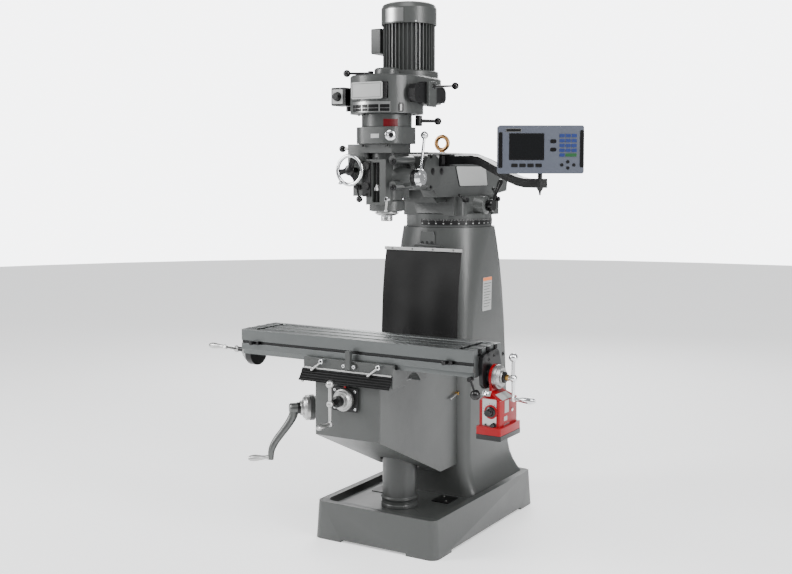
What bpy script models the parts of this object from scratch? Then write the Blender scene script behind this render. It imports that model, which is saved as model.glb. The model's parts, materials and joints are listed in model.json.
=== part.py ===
"""Vertical milling machine of the knee and column kind, with a turret, a ram and a swivelling head.

Metres, +Z up. The origin is on the floor, under the axis on which the turret turns, and the operator
stands on the -Y side. Each node is one closed body, and a body that moves hangs from an empty that
stands on its joint's axis.
"""
import math

import bmesh
import bpy
from mathutils import Matrix, Vector

GAP = 0.0003                 # left between faces that meet
RUNNING = 0.0003             # radial clearance of a shaft in its hole

# Base casting
BASE_WIDTH = 0.580
BASE_FRONT = 0.640           # from the turret axis to the front face
BASE_BACK = 0.280
BASE_HEIGHT = 0.155
BASE_CORNER = 0.035
BASE_DRAFT = 0.009
RIM_WIDTH = 0.030
TRAY_DEPTH = 0.027
FOOT_LENGTH = 0.135          # pad under each corner
FOOT_RECESS = 0.010
FOOT_SHELF = 0.040

# Column
COLUMN_TOP = 1.276
COLUMN_RADIUS = 0.203        # at the top, where it is round
COLUMN_HALF = 0.198          # half its width above the foot
COLUMN_BACK = 0.249
COLUMN_CORNER = 0.050
COLUMN_WALL = 0.018
FLARE_HEIGHT = 0.190
FLARE_FRONT = 0.036          # how far the foot spreads at the front corners
FLARE_REAR = 0.083
WAY_FACE = 0.2045            # from the turret axis to the flat on which the knee slides
WAY_DEPTH = 0.022
WAY_ROOT = 0.070             # half widths of the dovetail
WAY_TIP = 0.088
WAY_BOTTOM = 0.255
WAY_TOP = 1.170

# Elevating screw and the pedestal that carries its nut
SCREW_Y = -0.428
SCREW_RADIUS = 0.016
SCREW_WELL = 0.030           # height of the bottom of the hole under the pedestal
PEDESTAL_RADIUS = 0.0705
PEDESTAL_TOP = 0.560
PEDESTAL_BORE = 0.040
PEDESTAL_WALL_TOP = 0.060    # depth of the nut

# Rubber guard over the ways
GUARD_HALF = 0.190
GUARD_TOP = 1.192
GUARD_THICK = 0.004
GUARD_BAR_HEIGHT = 0.014
GUARD_BAR_THICK = 0.008
GUARD_BULGE = 0.030

# Knee
KNEE_HALF = 0.1495
KNEE_FRONT = 0.823
KNEE_TOP = 0.7305
KNEE_NOSE = 0.4885           # height of the lower front edge
KNEE_KEEL = 0.2678           # height of its lowest part
KNEE_KEEL_FRONT = 0.345      # from the turret axis to where the slope meets the keel
KNEE_EDGE = 0.006
WELL_RADIUS = 0.082          # room in the knee for the pedestal
WELL_TOP = 0.665
CRANK_Z = 0.557              # height of the knee crank's shaft
CRANK_OUT = 0.268            # from the screw's axis to the dial, along each of -X and -Y
CRANK_THROW = 0.195
CRANK_OFFSET = 0.120

# Saddle
SADDLE_HALF = 0.205
SADDLE_FRONT = 0.820
SADDLE_BACK = 0.560
SADDLE_LIP = 0.019
SADDLE_LIP_TOP = 0.791
SADDLE_SKIRT = 0.030

# Cross screw
CROSS_Z = 0.6435
CROSS_THROW = 0.0755

# Table
TABLE_LENGTH = 1.067
TABLE_WIDTH = 0.229
TABLE_TOP = 0.872
TABLE_THICK = 0.082
TABLE_Y = -0.6855
SLAB_THICK = 0.020           # narrow part under the table
SLAB_INSET = 0.012
SLOT_PITCH = 0.0635
SLOT_WIDTH = 0.016
SLOT_DEPTH = 0.018
SLOT_FOOT = 0.028
SLOT_FOOT_DEPTH = 0.012
STOP_GROOVE = 0.012          # height of the groove along the front
STOP_GROOVE_Z = 0.821
STOP_GROOVE_DEPTH = 0.008

# Table screw
SCREW_Z = 0.764
SCREW_X_RADIUS = 0.012
NUT_RADIUS = 0.0135          # hollow in the saddle through which the table screw passes
TABLE_CRANK_THROW = 0.0765
BRACKET_THICK = 0.016

# Turret and ram
TURRET_RADIUS = 0.189
TURRET_RING = 0.061
TURRET_BLOCK = 0.072
BLOCK_HALF = 0.150
BLOCK_FRONT = 0.188
BLOCK_BACK = 0.150
RAM_HALF = 0.115
RAM_TOP_HALF = 0.082
RAM_HEIGHT = 0.1885
RAM_SHOULDER = 0.130         # height at which the sides start to lean in
RAM_BACK = 0.367
RAM_DOVETAIL = 0.024
RAM_ROOT = 0.070
RAM_FOOT = 0.085

# Knuckle between the ram and the head
NOD_Y = -0.357
HEAD_RISE = 0.1035           # from the ram's underside to the axis on which the head tilts
CHEEK_RADIUS = 0.074
CHEEK_PROUD = 0.002          # how far the cheeks stand out from the ram's sides
TONGUE_HALF = 0.050
TILT_PLANE = -0.452
TILT_RADIUS = 0.083
TILT_FLANGE = 0.018

# Head
SPINDLE_Y = -0.528
QUILL_RADIUS = 0.043
QUILL_HOUSING = 0.071
SPINDLE_RADIUS = 0.0165
NOSE_RADIUS = 0.0235
HOUSING_BOTTOM = -0.153      # heights here are from the tilt axis
HOUSING_TOP = 0.114
GEAR_BOX_HEIGHT = 0.066
GEAR_BOX_HALF = 0.105
GEAR_BOX_BACK = 0.0945
RING_RADIUS = 0.101
RING_HEIGHT = 0.052
BELT_FRONT_RADIUS = 0.147
BELT_REAR_RADIUS = 0.134
BELT_HEIGHT = 0.152
BELT_STEP = 0.048            # how much lower the front part reaches
BELT_WALL = 0.009
MOTOR_Y = -0.353
MOTOR_RADIUS = 0.108
MOTOR_CORE = 0.099
MOTOR_FLANGE = 0.122
MOTOR_FLANGE_THICK = 0.029
MOTOR_HEIGHT = 0.190
FAN_RADIUS = 0.115
FAN_HEIGHT = 0.092
FAN_WALL = 0.003
FIN_COUNT = 22

# Display
ARM_PIVOT = (0.150, -0.285)
ARM_REACH = (0.704, -0.606)
ARM_SECTION = 0.034
CONSOLE_WIDTH = 0.311
CONSOLE_HEIGHT = 0.175
CONSOLE_DEPTH = 0.052
CONSOLE_TURN = math.radians(31.3)

TRAY_Z = BASE_HEIGHT - TRAY_DEPTH
TURRET_Z = COLUMN_TOP + GAP
RAM_Z = TURRET_Z + TURRET_RING + TURRET_BLOCK + GAP
TILT_Z = RAM_Z + HEAD_RISE
GEAR_BOX_Z = TILT_Z + HOUSING_TOP + GAP
RING_Z = GEAR_BOX_Z + GEAR_BOX_HEIGHT + GAP
BELT_Z = RING_Z + RING_HEIGHT + GAP
MOTOR_Z = BELT_Z + BELT_HEIGHT + GAP
TABLE_BOTTOM = TABLE_TOP - TABLE_THICK - SLAB_THICK
TABLE_END = TABLE_LENGTH / 2


# ---------------------------------------------------------------- shapes

def mesh_from(name, points, faces):
    """Closed mesh from points and faces, turned to face outwards."""
    mesh = bpy.data.meshes.new(name)
    mesh.from_pydata([tuple(p) for p in points], [], faces)
    work = bmesh.new()
    work.from_mesh(mesh)
    bmesh.ops.recalc_face_normals(work, faces=work.faces)
    work.to_mesh(mesh)
    work.free()
    return mesh


def lofted(rings):
    """Solid through rings of points that all have the same count."""
    count = len(rings[0])
    points = [p for ring in rings for p in ring]
    faces = [tuple(reversed(range(count)))]
    for level in range(len(rings) - 1):
        low, high = level * count, (level + 1) * count
        faces += [(low + i, low + (i + 1) % count, high + (i + 1) % count, high + i) for i in range(count)]
    faces.append(tuple(range(len(points) - count, len(points))))
    return mesh_from("loft", points, faces)


def prism(outline, low, high, axis="Z"):
    """Outline carried along an axis from low to high.

    The outline is (x, y) for Z, (y, z) for X and (x, z) for Y.
    """
    def lift(p, level):
        return {"Z": (p[0], p[1], level), "X": (level, p[0], p[1]), "Y": (p[0], level, p[1])}[axis]
    return lofted([[lift(p, low) for p in outline], [lift(p, high) for p in outline]])


def block(x, y, z):
    """Box between pairs of limits."""
    return prism([(x[0], y[0]), (x[1], y[0]), (x[1], y[1]), (x[0], y[1])], z[0], z[1])


def arc(centre, radius, start, end, steps):
    """Points of an arc, angles in degrees."""
    turns = [math.radians(start + (end - start) * i / steps) for i in range(steps + 1)]
    return [(centre[0] + radius * math.cos(a), centre[1] + radius * math.sin(a)) for a in turns]


def rounded(x, y, radius, steps=5):
    """Rectangle between pairs of limits with round corners."""
    corners = [(x[1], y[1], 0), (x[0], y[1], 90), (x[0], y[0], 180), (x[1], y[0], 270)]
    outline = []
    for cx, cy, start in corners:
        side = (1 if start in (0, 270) else -1, 1 if start in (0, 90) else -1)
        centre = (cx - side[0] * radius, cy - side[1] * radius)
        outline += arc(centre, radius, start, start + 90, steps)
    return outline


def turned(profile, sides=32, tube=False):
    """Solid of revolution about Z from (radius, height) pairs; a tube's profile closes on itself."""
    profile = list(profile)
    # a flat end is one face, so its middle point is left out
    if profile[0][0] == 0 and profile[0][1] == profile[1][1]:
        profile.pop(0)
    if profile[-1][0] == 0 and profile[-1][1] == profile[-2][1]:
        profile.pop()
    points, rows = [], []
    for radius, height in profile:
        if radius == 0:
            rows.append([len(points)])
            points.append((0, 0, height))
        else:
            rows.append([len(points) + i for i in range(sides)])
            angles = [2 * math.pi * i / sides for i in range(sides)]
            points += [(radius * math.cos(a), radius * math.sin(a), height) for a in angles]
    faces = []
    pairs = list(zip(rows, rows[1:])) + ([(rows[-1], rows[0])] if tube else [])
    for low, high in pairs:
        if len(low) == 1 and len(high) == 1:
            continue
        for i in range(sides):
            j = (i + 1) % sides
            corners = [low[i % len(low)], low[j % len(low)], high[j % len(high)], high[i % len(high)]]
            faces.append(tuple(dict.fromkeys(corners)))
    if not tube:
        faces += [tuple(row) for row in (rows[0], rows[-1]) if len(row) > 1]
    return mesh_from("turning", points, faces)


def ball(radius, height, steps=6, start=-90, end=90):
    """Profile of a ball whose centre is at a height, for turned()."""
    outline = arc((0, height), radius, start, end, steps)
    return [(0 if abs(r) < 1e-7 else r, z) for r, z in outline]


def swept(path, radii, sides=16):
    """Round bar along a path that lies in the YZ plane."""
    rings = []
    for i, point in enumerate(path):
        before, after = path[max(i - 1, 0)], path[min(i + 1, len(path) - 1)]
        along = (Vector(after) - Vector(before)).normalized()
        across = Vector((1, 0, 0))
        up = along.cross(across)
        ring = []
        for k in range(sides):
            a = 2 * math.pi * k / sides
            ring.append(Vector(point) + radii[i] * (math.cos(a) * across + math.sin(a) * up))
        rings.append(ring)
    return lofted(rings)


def moved(mesh, at=(0, 0, 0), turn=(0, 0, 0)):
    """The mesh turned about X, Y and Z in degrees, then moved."""
    spin = Matrix.Rotation(math.radians(turn[2]), 4, "Z")
    spin @= Matrix.Rotation(math.radians(turn[1]), 4, "Y")
    spin @= Matrix.Rotation(math.radians(turn[0]), 4, "X")
    mesh.transform(Matrix.Translation(at) @ spin)
    return mesh


def boolean(body, tools, operation):
    """Mesh of the body after each tool is cut from it, joined to it or crossed with it."""
    piece = bpy.data.objects.new("work", body)
    bpy.context.scene.collection.objects.link(piece)
    helpers = []
    for tool in tools:
        helper = bpy.data.objects.new("tool", tool)
        bpy.context.scene.collection.objects.link(helper)
        modifier = piece.modifiers.new("step", "BOOLEAN")
        modifier.solver = "EXACT"
        modifier.operation = operation
        modifier.object = helper
        helpers.append(helper)
    graph = bpy.context.evaluated_depsgraph_get()
    mesh = bpy.data.meshes.new_from_object(piece.evaluated_get(graph))
    for helper in [piece] + helpers:
        bpy.data.objects.remove(helper)
    return mesh


def cut(body, *tools):
    return boolean(body, tools, "DIFFERENCE")


def joined(body, *tools):
    return boolean(body, tools, "UNION")


# ---------------------------------------------------------------- scene and materials

for old in list(bpy.data.objects):
    bpy.data.objects.remove(old)


def material(name, colour, roughness, metallic):
    made = bpy.data.materials.new(name)
    made.use_nodes = True
    shader = made.node_tree.nodes["Principled BSDF"]
    shader.inputs["Base Color"].default_value = (*colour, 1)
    shader.inputs["Roughness"].default_value = roughness
    shader.inputs["Metallic"].default_value = metallic
    made.diffuse_color = (*colour, 1)
    return made


GREY_PAINT = material("grey_paint", (0.125, 0.130, 0.125), 0.38, 0.0)
RED_PAINT = material("red_paint", (0.50, 0.010, 0.020), 0.35, 0.0)
GROUND_STEEL = material("ground_steel", (0.30, 0.31, 0.30), 0.32, 1.0)
CHROME = material("chrome", (0.75, 0.75, 0.75), 0.10, 1.0)
SATIN = material("satin_metal", (0.55, 0.55, 0.54), 0.35, 1.0)
BLACK_OXIDE = material("black_oxide", (0.020, 0.020, 0.020), 0.45, 0.6)
BLACK_PLASTIC = material("black_plastic", (0.015, 0.015, 0.016), 0.40, 0.0)
RUBBER = material("rubber", (0.012, 0.012, 0.012), 0.60, 0.0)
YELLOW_ZINC = material("yellow_zinc", (0.50, 0.33, 0.20), 0.35, 1.0)
CONSOLE_PAINT = material("console_paint", (0.120, 0.130, 0.160), 0.45, 0.0)


PLACES = {}                  # where each empty stands in the machine's frame


def empty(name, at, parent=None):
    """Empty that stands on a joint's axis; `at` is a place in the machine's frame."""
    made = bpy.data.objects.new(name, None)
    bpy.context.scene.collection.objects.link(made)
    made.parent = parent
    PLACES[made.name] = Vector(at)
    made.location = Vector(at) - (PLACES[parent.name] if parent else Vector((0, 0, 0)))
    return made


def node(name, mesh, paint, parent, at=(0, 0, 0), turn=None, sharp=32):
    """Named piece, placed in the machine's frame and hung from its parent."""
    made = bpy.data.objects.new(name, mesh)
    bpy.context.scene.collection.objects.link(made)
    mesh.name = name
    mesh.materials.clear()
    mesh.materials.append(paint)
    mesh.shade_smooth()
    mesh.set_sharp_from_angle(angle=math.radians(sharp))
    made.parent = parent
    made.location = Vector(at) - PLACES[parent.name]
    if turn is not None:
        made.rotation_euler = turn
    return made


def aimed(direction):
    """Rotation that takes +Z to a direction."""
    return Vector(direction).to_track_quat("Z", "Y").to_euler()


MACHINE = empty("machine", (0, 0, 0))

# ---------------------------------------------------------------- base and column

def column_ring(z, inset=0.0):
    """Section of the column: wide at its foot, square above it, and round at the top."""
    rise = max(0.0, (z - TRAY_Z) / (COLUMN_TOP - TRAY_Z))
    flare = max(0.0, 1 - (z - TRAY_Z) / FLARE_HEIGHT) ** 2.4
    half = COLUMN_HALF + (COLUMN_RADIUS - COLUMN_HALF) * rise ** 3 - 0.008 * math.sin(math.pi * rise) - inset
    front_share = 1 + FLARE_FRONT * flare / half
    back_share = 1 + FLARE_REAR * flare / half
    back = COLUMN_BACK + (COLUMN_RADIUS - COLUMN_BACK) * rise ** 1.3 + 0.022 * flare - inset
    front = WAY_FACE + (COLUMN_RADIUS - WAY_FACE) * rise ** 6 - inset
    radius = COLUMN_CORNER + (COLUMN_RADIUS - COLUMN_CORNER) * rise ** 4 - inset * 0.6
    radius = min(radius, half - GAP, (front + back) / 2 - GAP)
    ring = []
    for x, y in rounded((-half, half), (-front, back), radius, 5):
        share = (y + front) / (front + back)
        ring.append((x * (front_share + (back_share - front_share) * share), y, z))
    return ring


def base_solid():
    """Tapered block with a tray in its top and a pad under each corner."""
    half = BASE_WIDTH / 2
    low = rounded((-half, half), (-BASE_FRONT, BASE_BACK), BASE_CORNER)
    d = BASE_DRAFT
    high = rounded((-half + d, half - d), (-BASE_FRONT + d, BASE_BACK - d), BASE_CORNER - d / 2)
    body = lofted([[(x, y, 0) for x, y in low], [(x, y, BASE_HEIGHT) for x, y in high]])
    edge = RIM_WIDTH + d
    tray = rounded((-half + edge, half - edge), (-BASE_FRONT + edge, BASE_BACK - edge), BASE_CORNER)
    inner = edge + 0.008
    floor = rounded((-half + inner, half - inner), (-BASE_FRONT + inner, BASE_BACK - inner), BASE_CORNER)
    top = BASE_HEIGHT + 0.001
    tools = [lofted([[(x, y, TRAY_Z) for x, y in floor], [(x, y, top) for x, y in tray]])]
    # arches between the pads, on all four sides
    reach = 0.01
    for side in (-1, 1):
        span = (-half + FOOT_LENGTH, half - FOOT_LENGTH)
        y0 = -BASE_FRONT if side < 0 else BASE_BACK
        y = (y0 - reach, y0 + FOOT_SHELF) if side < 0 else (y0 - FOOT_SHELF, y0 + reach)
        tools.append(block(span, y, (-0.001, FOOT_RECESS)))
        x = sorted((side * (half + reach), side * (half - FOOT_SHELF)))
        span = (-BASE_FRONT + FOOT_LENGTH, BASE_BACK - FOOT_LENGTH)
        tools.append(block(x, span, (-0.001, FOOT_RECESS)))
    return cut(body, *tools)


def column_solid():
    """Column and base as one casting, hollow and open at the top, with the ways on its front."""
    flare_steps = [TRAY_Z - 0.004 + FLARE_HEIGHT * s for s in (0, 0.12, 0.26, 0.42, 0.62, 0.85)]
    plain_steps = [TRAY_Z + (COLUMN_TOP - TRAY_Z) * s for s in (0.25, 0.45, 0.62, 0.76, 0.87, 0.94, 1)]
    shell = lofted([column_ring(z) for z in flare_steps + plain_steps])
    dovetail = [(-WAY_ROOT, -WAY_FACE + WAY_DEPTH), (-WAY_ROOT, -WAY_FACE), (-WAY_TIP, -WAY_FACE - WAY_DEPTH),
                (WAY_TIP, -WAY_FACE - WAY_DEPTH), (WAY_ROOT, -WAY_FACE), (WAY_ROOT, -WAY_FACE + WAY_DEPTH)]
    ways = prism(dovetail, WAY_BOTTOM, WAY_TOP)
    hollow_steps = [TRAY_Z + FLARE_HEIGHT * s for s in (0.1, 0.5, 1)]
    hollow_steps += [TRAY_Z + (COLUMN_TOP - COLUMN_WALL * 1.5 - TRAY_Z) * s for s in (0.5, 0.8, 1)]
    hollow = lofted([column_ring(z, COLUMN_WALL) for z in hollow_steps])
    mouth = moved(turned([(0, -0.1), (COLUMN_RADIUS * 0.62, -0.1), (COLUMN_RADIUS * 0.62, 0.01),
                          (0, 0.01)]), (0, 0, COLUMN_TOP))
    well = turned([(0, SCREW_WELL), (PEDESTAL_BORE, SCREW_WELL), (PEDESTAL_BORE, BASE_HEIGHT),
                   (0, BASE_HEIGHT)], 24)
    body = joined(base_solid(), shell, ways)
    return cut(body, hollow, mouth, moved(well, (0, SCREW_Y, 0)))


node("column_base", column_solid(), GREY_PAINT, MACHINE)

foot = PEDESTAL_RADIUS + 0.006
PEDESTAL_PROFILE = [
    (PEDESTAL_BORE, 0), (foot, 0), (foot, 0.012), (foot - 0.003, 0.016), (foot - 0.003, 0.030),
    (foot, 0.033), (foot, 0.040), (PEDESTAL_RADIUS, 0.045),
    (PEDESTAL_RADIUS, PEDESTAL_TOP - TRAY_Z - 0.006), (PEDESTAL_RADIUS - 0.006, PEDESTAL_TOP - TRAY_Z),
    (SCREW_RADIUS + RUNNING, PEDESTAL_TOP - TRAY_Z),
    (SCREW_RADIUS + RUNNING, PEDESTAL_TOP - TRAY_Z - PEDESTAL_WALL_TOP),
    (PEDESTAL_BORE, PEDESTAL_TOP - TRAY_Z - PEDESTAL_WALL_TOP - 0.02)]
node("screw_pedestal", turned(PEDESTAL_PROFILE, 22, tube=True), GREY_PAINT, MACHINE,
     (0, SCREW_Y, TRAY_Z + GAP))

GUARD_Y = -WAY_FACE - WAY_DEPTH - GAP
GUARD_BOTTOM = KNEE_TOP + 0.012


def guard_solid():
    """Rubber guard: hangs from its top edge and bellies out between there and the knee."""
    steps = 8
    outer, inner = [(GUARD_Y - GUARD_THICK, GUARD_TOP)], [(GUARD_Y, GUARD_TOP)]
    hang = GUARD_TOP - GUARD_BAR_HEIGHT
    for i in range(steps + 1):
        share = i / steps
        belly = GUARD_BULGE * math.sin(math.pi * share * 0.72) + 0.012 * share
        y = GUARD_Y - belly
        z = hang - (hang - GUARD_BOTTOM) * share
        outer.append((y - GUARD_THICK, z))
        inner.append((y, z))
    return prism(outer + inner[::-1], -GUARD_HALF + 0.004, GUARD_HALF - 0.004, "X")


node("way_cover", guard_solid(), RUBBER, MACHINE)
BAR_Y = GUARD_Y - GUARD_THICK - GAP
node("way_cover_bar", block((-GUARD_HALF, GUARD_HALF), (BAR_Y - GUARD_BAR_THICK, BAR_Y),
                            (GUARD_TOP - GUARD_BAR_HEIGHT, GUARD_TOP)), SATIN, MACHINE)

# ---------------------------------------------------------------- knee

KNEE = empty("knee_slide_axis", (0, 0, KNEE_TOP), MACHINE)
CRANK_DIRECTION = Vector((-1, -1, 0)).normalized()
CRANK_DIAL = Vector((-CRANK_OUT, SCREW_Y - CRANK_OUT, CRANK_Z))
DIAL_RADIUS = 0.051
BOSS_RADIUS = 0.046


def knee_solid():
    """Iron casting: flat sides, sloping underside, a dovetail slot behind and a well below."""
    back = -WAY_FACE - GAP
    profile = [(-KNEE_FRONT, KNEE_TOP), (-KNEE_FRONT, KNEE_NOSE), (-KNEE_KEEL_FRONT, KNEE_KEEL),
               (back, KNEE_KEEL), (back, KNEE_TOP)]
    side = prism(profile, -KNEE_HALF, KNEE_HALF, "X")
    plan = prism(rounded((-KNEE_HALF, KNEE_HALF), (-KNEE_FRONT, back + 0.05), KNEE_EDGE, 3),
                 KNEE_KEEL - 0.01, KNEE_TOP + 0.01)
    body = boolean(side, [plan], "INTERSECT")
    away = -WAY_FACE - WAY_DEPTH - GAP
    root, tip = WAY_ROOT + 2 * GAP, WAY_TIP + 2 * GAP
    slot = [(-root, back + 0.01), (-root, -WAY_FACE), (-tip, away), (tip, away), (root, -WAY_FACE),
            (root, back + 0.01)]
    dovetail = prism(slot, KNEE_KEEL - 0.01, KNEE_TOP + 0.01)
    well = turned([(0, KNEE_KEEL - 0.02), (WELL_RADIUS, KNEE_KEEL - 0.02), (WELL_RADIUS, WELL_TOP),
                   (0, WELL_TOP)], 32)
    arm = (CRANK_DIAL - Vector((0, SCREW_Y, CRANK_Z))).length
    boss = turned([(0, arm * 0.45), (BOSS_RADIUS, arm * 0.45), (BOSS_RADIUS, arm - 0.022),
                   (BOSS_RADIUS + 0.006, arm - 0.018), (BOSS_RADIUS + 0.006, arm - 0.001), (0, arm - 0.001)], 32)
    boss.transform(aimed(CRANK_DIRECTION).to_matrix().to_4x4())
    body = joined(body, moved(boss, (0, SCREW_Y, CRANK_Z)))
    return cut(body, dovetail, moved(well, (0, SCREW_Y, 0)))


node("knee", moved(knee_solid(), (0, 0, -KNEE_TOP)), GREY_PAINT, KNEE, (0, 0, KNEE_TOP))

SCREW_TURN = empty("elevating_screw_axis", (0, SCREW_Y, KNEE_TOP), KNEE)
SCREW_PROFILE = [(0, SCREW_WELL + 0.015), (SCREW_RADIUS, SCREW_WELL + 0.015), (SCREW_RADIUS, WELL_TOP - 0.050),
                 (0.040, WELL_TOP - 0.048), (0.052, WELL_TOP - 0.028), (0.052, WELL_TOP - 0.016),
                 (0.020, WELL_TOP - 0.015), (0.020, WELL_TOP - GAP), (0, WELL_TOP - GAP)]
node("elevating_screw", turned([(r, z - KNEE_TOP) for r, z in SCREW_PROFILE], 20), SATIN,
     SCREW_TURN, (0, SCREW_Y, KNEE_TOP))


def dial_profile(radius, thick, hub, hub_length):
    """Graduated dial with a stepped face and a round hub, along +Z."""
    return [(0, 0), (radius, 0), (radius, thick * 0.62), (radius * 0.86, thick * 0.66), (radius * 0.80, thick),
            (hub, thick), (hub, thick + hub_length), (0, thick + hub_length)]


def grip(length, radius, neck):
    """Swelling hand grip along +Z with a thin neck at its foot."""
    stations = [(0, neck), (0.10, neck), (0.16, 0.62 * radius), (0.30, 0.66 * radius), (0.52, 0.86 * radius),
                (0.74, radius), (0.90, 0.80 * radius), (0.98, 0.36 * radius)]
    return [(0, 0)] + [(r, share * length) for share, r in stations] + [(0, length)]


CRANK_AXIS = empty("knee_crank_axis", CRANK_DIAL, KNEE)
CRANK_TURN = aimed(CRANK_DIRECTION)
node("knee_dial", turned(dial_profile(DIAL_RADIUS, 0.026, 0.019, 0.012), 24), SATIN, CRANK_AXIS,
     CRANK_DIAL, CRANK_TURN)


def knee_crank_solid():
    """Cast crank: hub, an arm that swings outwards in an S, and a turned grip.

    Built with the shaft along +Z and the arm towards +Y.
    """
    hub = turned([(0, 0), (0.0215, 0), (0.0215, 0.040), (0.017, 0.044), (0, 0.044)], 24)
    bends = [(0.0, 0.024), (0.028, 0.028), (0.060, 0.046), (0.092, 0.070), (0.122, 0.094), (0.148, 0.110),
             (0.172, 0.118), (CRANK_THROW + 0.010, CRANK_OFFSET)]
    radii = [0.017, 0.016, 0.014, 0.0135, 0.013, 0.0125, 0.0115, 0.010]
    arm = swept([(0, y, z) for y, z in bends], radii, 10)
    handle = moved(turned(grip(0.092, 0.0135, 0.0065), 10), (0, CRANK_THROW, CRANK_OFFSET + 0.002))
    return joined(hub, arm, handle)


# +Y of the crank points down when the crank hangs at rest
KNEE_CRANK = knee_crank_solid()
frame = Matrix((Vector((0, 0, -1)).cross(CRANK_DIRECTION), Vector((0, 0, -1)), CRANK_DIRECTION)).transposed()
node("knee_crank", KNEE_CRANK, SATIN, CRANK_AXIS,
     CRANK_DIAL + CRANK_DIRECTION * (0.038 + GAP), frame.to_euler())


def rod_lever(length, rod, knob, hub, hub_length, taper=0.8):
    """Lever along +Z from a hub that lies along Y; a round knob on its end."""
    neck = knob * 0.55
    top = [(r, z) for r, z in ball(knob, length, 6) if z > length - math.sqrt(max(knob ** 2 - neck ** 2, 0))]
    profile = [(0, 0), (rod, 0), (rod * taper, length - knob)] + [(r, z) for r, z in top if r > rod * taper or r == 0]
    barrel = moved(turned([(0, -hub_length / 2), (hub, -hub_length / 2), (hub, hub_length / 2),
                           (0, hub_length / 2)], 16), turn=(90, 0, 0))
    return joined(barrel, turned(profile, 10))


def lever_node(name, paint, parent, at, hub_along, rod_along, sizes, taper=0.8):
    """Lever whose hub lies along one direction and whose rod points along another."""
    z = Vector(rod_along).normalized()
    y = Vector(hub_along)
    y = (y - z * y.dot(z)).normalized()
    turn = Matrix((y.cross(z), y, z)).transposed().to_euler()
    return node(name, rod_lever(*sizes, taper), paint, parent, at, turn)


LOCK_AT = (KNEE_HALF + 0.008 + GAP, -WAY_FACE - 0.010, 0.576)
KNEE_LOCK = empty("knee_lock_axis", LOCK_AT, KNEE)
lever_node("knee_lock", CHROME, KNEE_LOCK, LOCK_AT, (1, 0, 0), (0, -1, -0.22),
           (0.058, 0.0035, 0.0042, 0.0065, 0.016))

# ---------------------------------------------------------------- cross screw

CROSS_PLATE = 0.013          # bearing plate between the knee and the dial
CROSS_AT = (0, -KNEE_FRONT - CROSS_PLATE - GAP, CROSS_Z)
CROSS = empty("cross_screw_axis", CROSS_AT, KNEE)
node("cross_dial", turned(dial_profile(0.043, 0.046, 0.017, 0.034), 22), SATIN, CROSS, CROSS_AT,
     aimed((0, -1, 0)))


def ball_crank_solid(throw, top_ball, hub_ball, rod, handle_length, handle_radius):
    """Ball crank: bar along Z with a ball at its top and its middle, a grip along +Y at its foot."""
    bar = [(0, -throw - 0.008), (0.0075, -throw - 0.008), (0.0095, -throw - 0.002), (0.0095, -throw + 0.006),
           (rod * 0.85, -throw + 0.012), (rod, -hub_ball * 0.9)]
    bar += [(r, z) for r, z in ball(hub_ball, 0, 4, -60, 60)]
    bar += [(rod, hub_ball * 0.9), (rod * 0.9, throw - top_ball * 0.9)]
    bar += [(r, z) for r, z in ball(top_ball, throw, 5, -60, 90)]
    hub = moved(turned([(0, 0.001), (0.0098, 0.001), (0.0098, hub_ball + 0.006), (0, hub_ball + 0.006)], 13),
                turn=(90, 0, 0))
    handle = moved(turned(grip(handle_length, handle_radius, 0.0055), 10), (0, -0.004, -throw), (-90, 0, 0))
    return joined(turned(bar, 12), hub, handle)


def crank_turn(outward, up):
    """Rotation that takes a crank's +Y to `outward` and its +Z to `up`."""
    y, z = Vector(outward), Vector(up)
    return Matrix((y.cross(z), y, z)).transposed().to_euler()


CROSS_REACH = 0.046 + 0.034
CROSS_HUB = 0.0135
node("cross_crank", ball_crank_solid(CROSS_THROW, 0.0155, CROSS_HUB, 0.0068, 0.088, 0.0115), CHROME, CROSS,
     (0, CROSS_AT[1] - CROSS_REACH - CROSS_HUB - 0.006 - GAP, CROSS_Z), crank_turn((0, -1, 0), (0, 0, 1)))

# ---------------------------------------------------------------- saddle

SADDLE = empty("saddle_slide_axis", (0, 0, KNEE_TOP), KNEE)
SADDLE_TOP = TABLE_BOTTOM - GAP


def saddle_solid():
    """Block between the knee and the table, with a skirt down each side and a lip in front."""
    low = KNEE_TOP + GAP
    bed = block((-SADDLE_HALF, SADDLE_HALF), (-SADDLE_FRONT, -SADDLE_BACK), (low, SADDLE_TOP))
    lip = prism([(-SADDLE_FRONT, low), (-SADDLE_FRONT + SADDLE_LIP, low),
                 (-SADDLE_FRONT + SADDLE_LIP, SADDLE_LIP_TOP - 0.001), (-SADDLE_FRONT, SADDLE_LIP_TOP - 0.001)],
                -SADDLE_HALF, SADDLE_HALF, "X")
    skirts = []
    skirt_low = low - SADDLE_SKIRT
    outline = [(-SADDLE_FRONT, skirt_low), (-SADDLE_BACK, skirt_low), (-SADDLE_BACK, SADDLE_TOP - 0.004),
               (-SADDLE_FRONT, SADDLE_TOP - 0.004)]
    for side in (-1, 1):
        near, far = KNEE_HALF + 2 * GAP, SADDLE_HALF
        x = sorted((side * near, side * far))
        skirts.append(prism(outline, x[0], x[1], "X"))
    body = joined(bed, lip, *skirts)
    arches = []
    for side in (-1, 1):
        x = sorted((side * (KNEE_HALF + 0.016), side * (SADDLE_HALF + 0.01)))
        scoop = turned([(0, 0), (0.062, 0), (0.062, x[1] - x[0]), (0, x[1] - x[0])], 24)
        centre = (x[0], (-SADDLE_FRONT - SADDLE_BACK) / 2 + 0.022, skirt_low - 0.022)
        arches.append(moved(scoop, centre, (0, 90, 0)))
    nut = moved(turned([(0, -0.3), (NUT_RADIUS, -0.3), (NUT_RADIUS, 0.3), (0, 0.3)], 20), (0, TABLE_Y, SCREW_Z),
                (0, 90, 0))
    return cut(body, *arches, nut)


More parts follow.
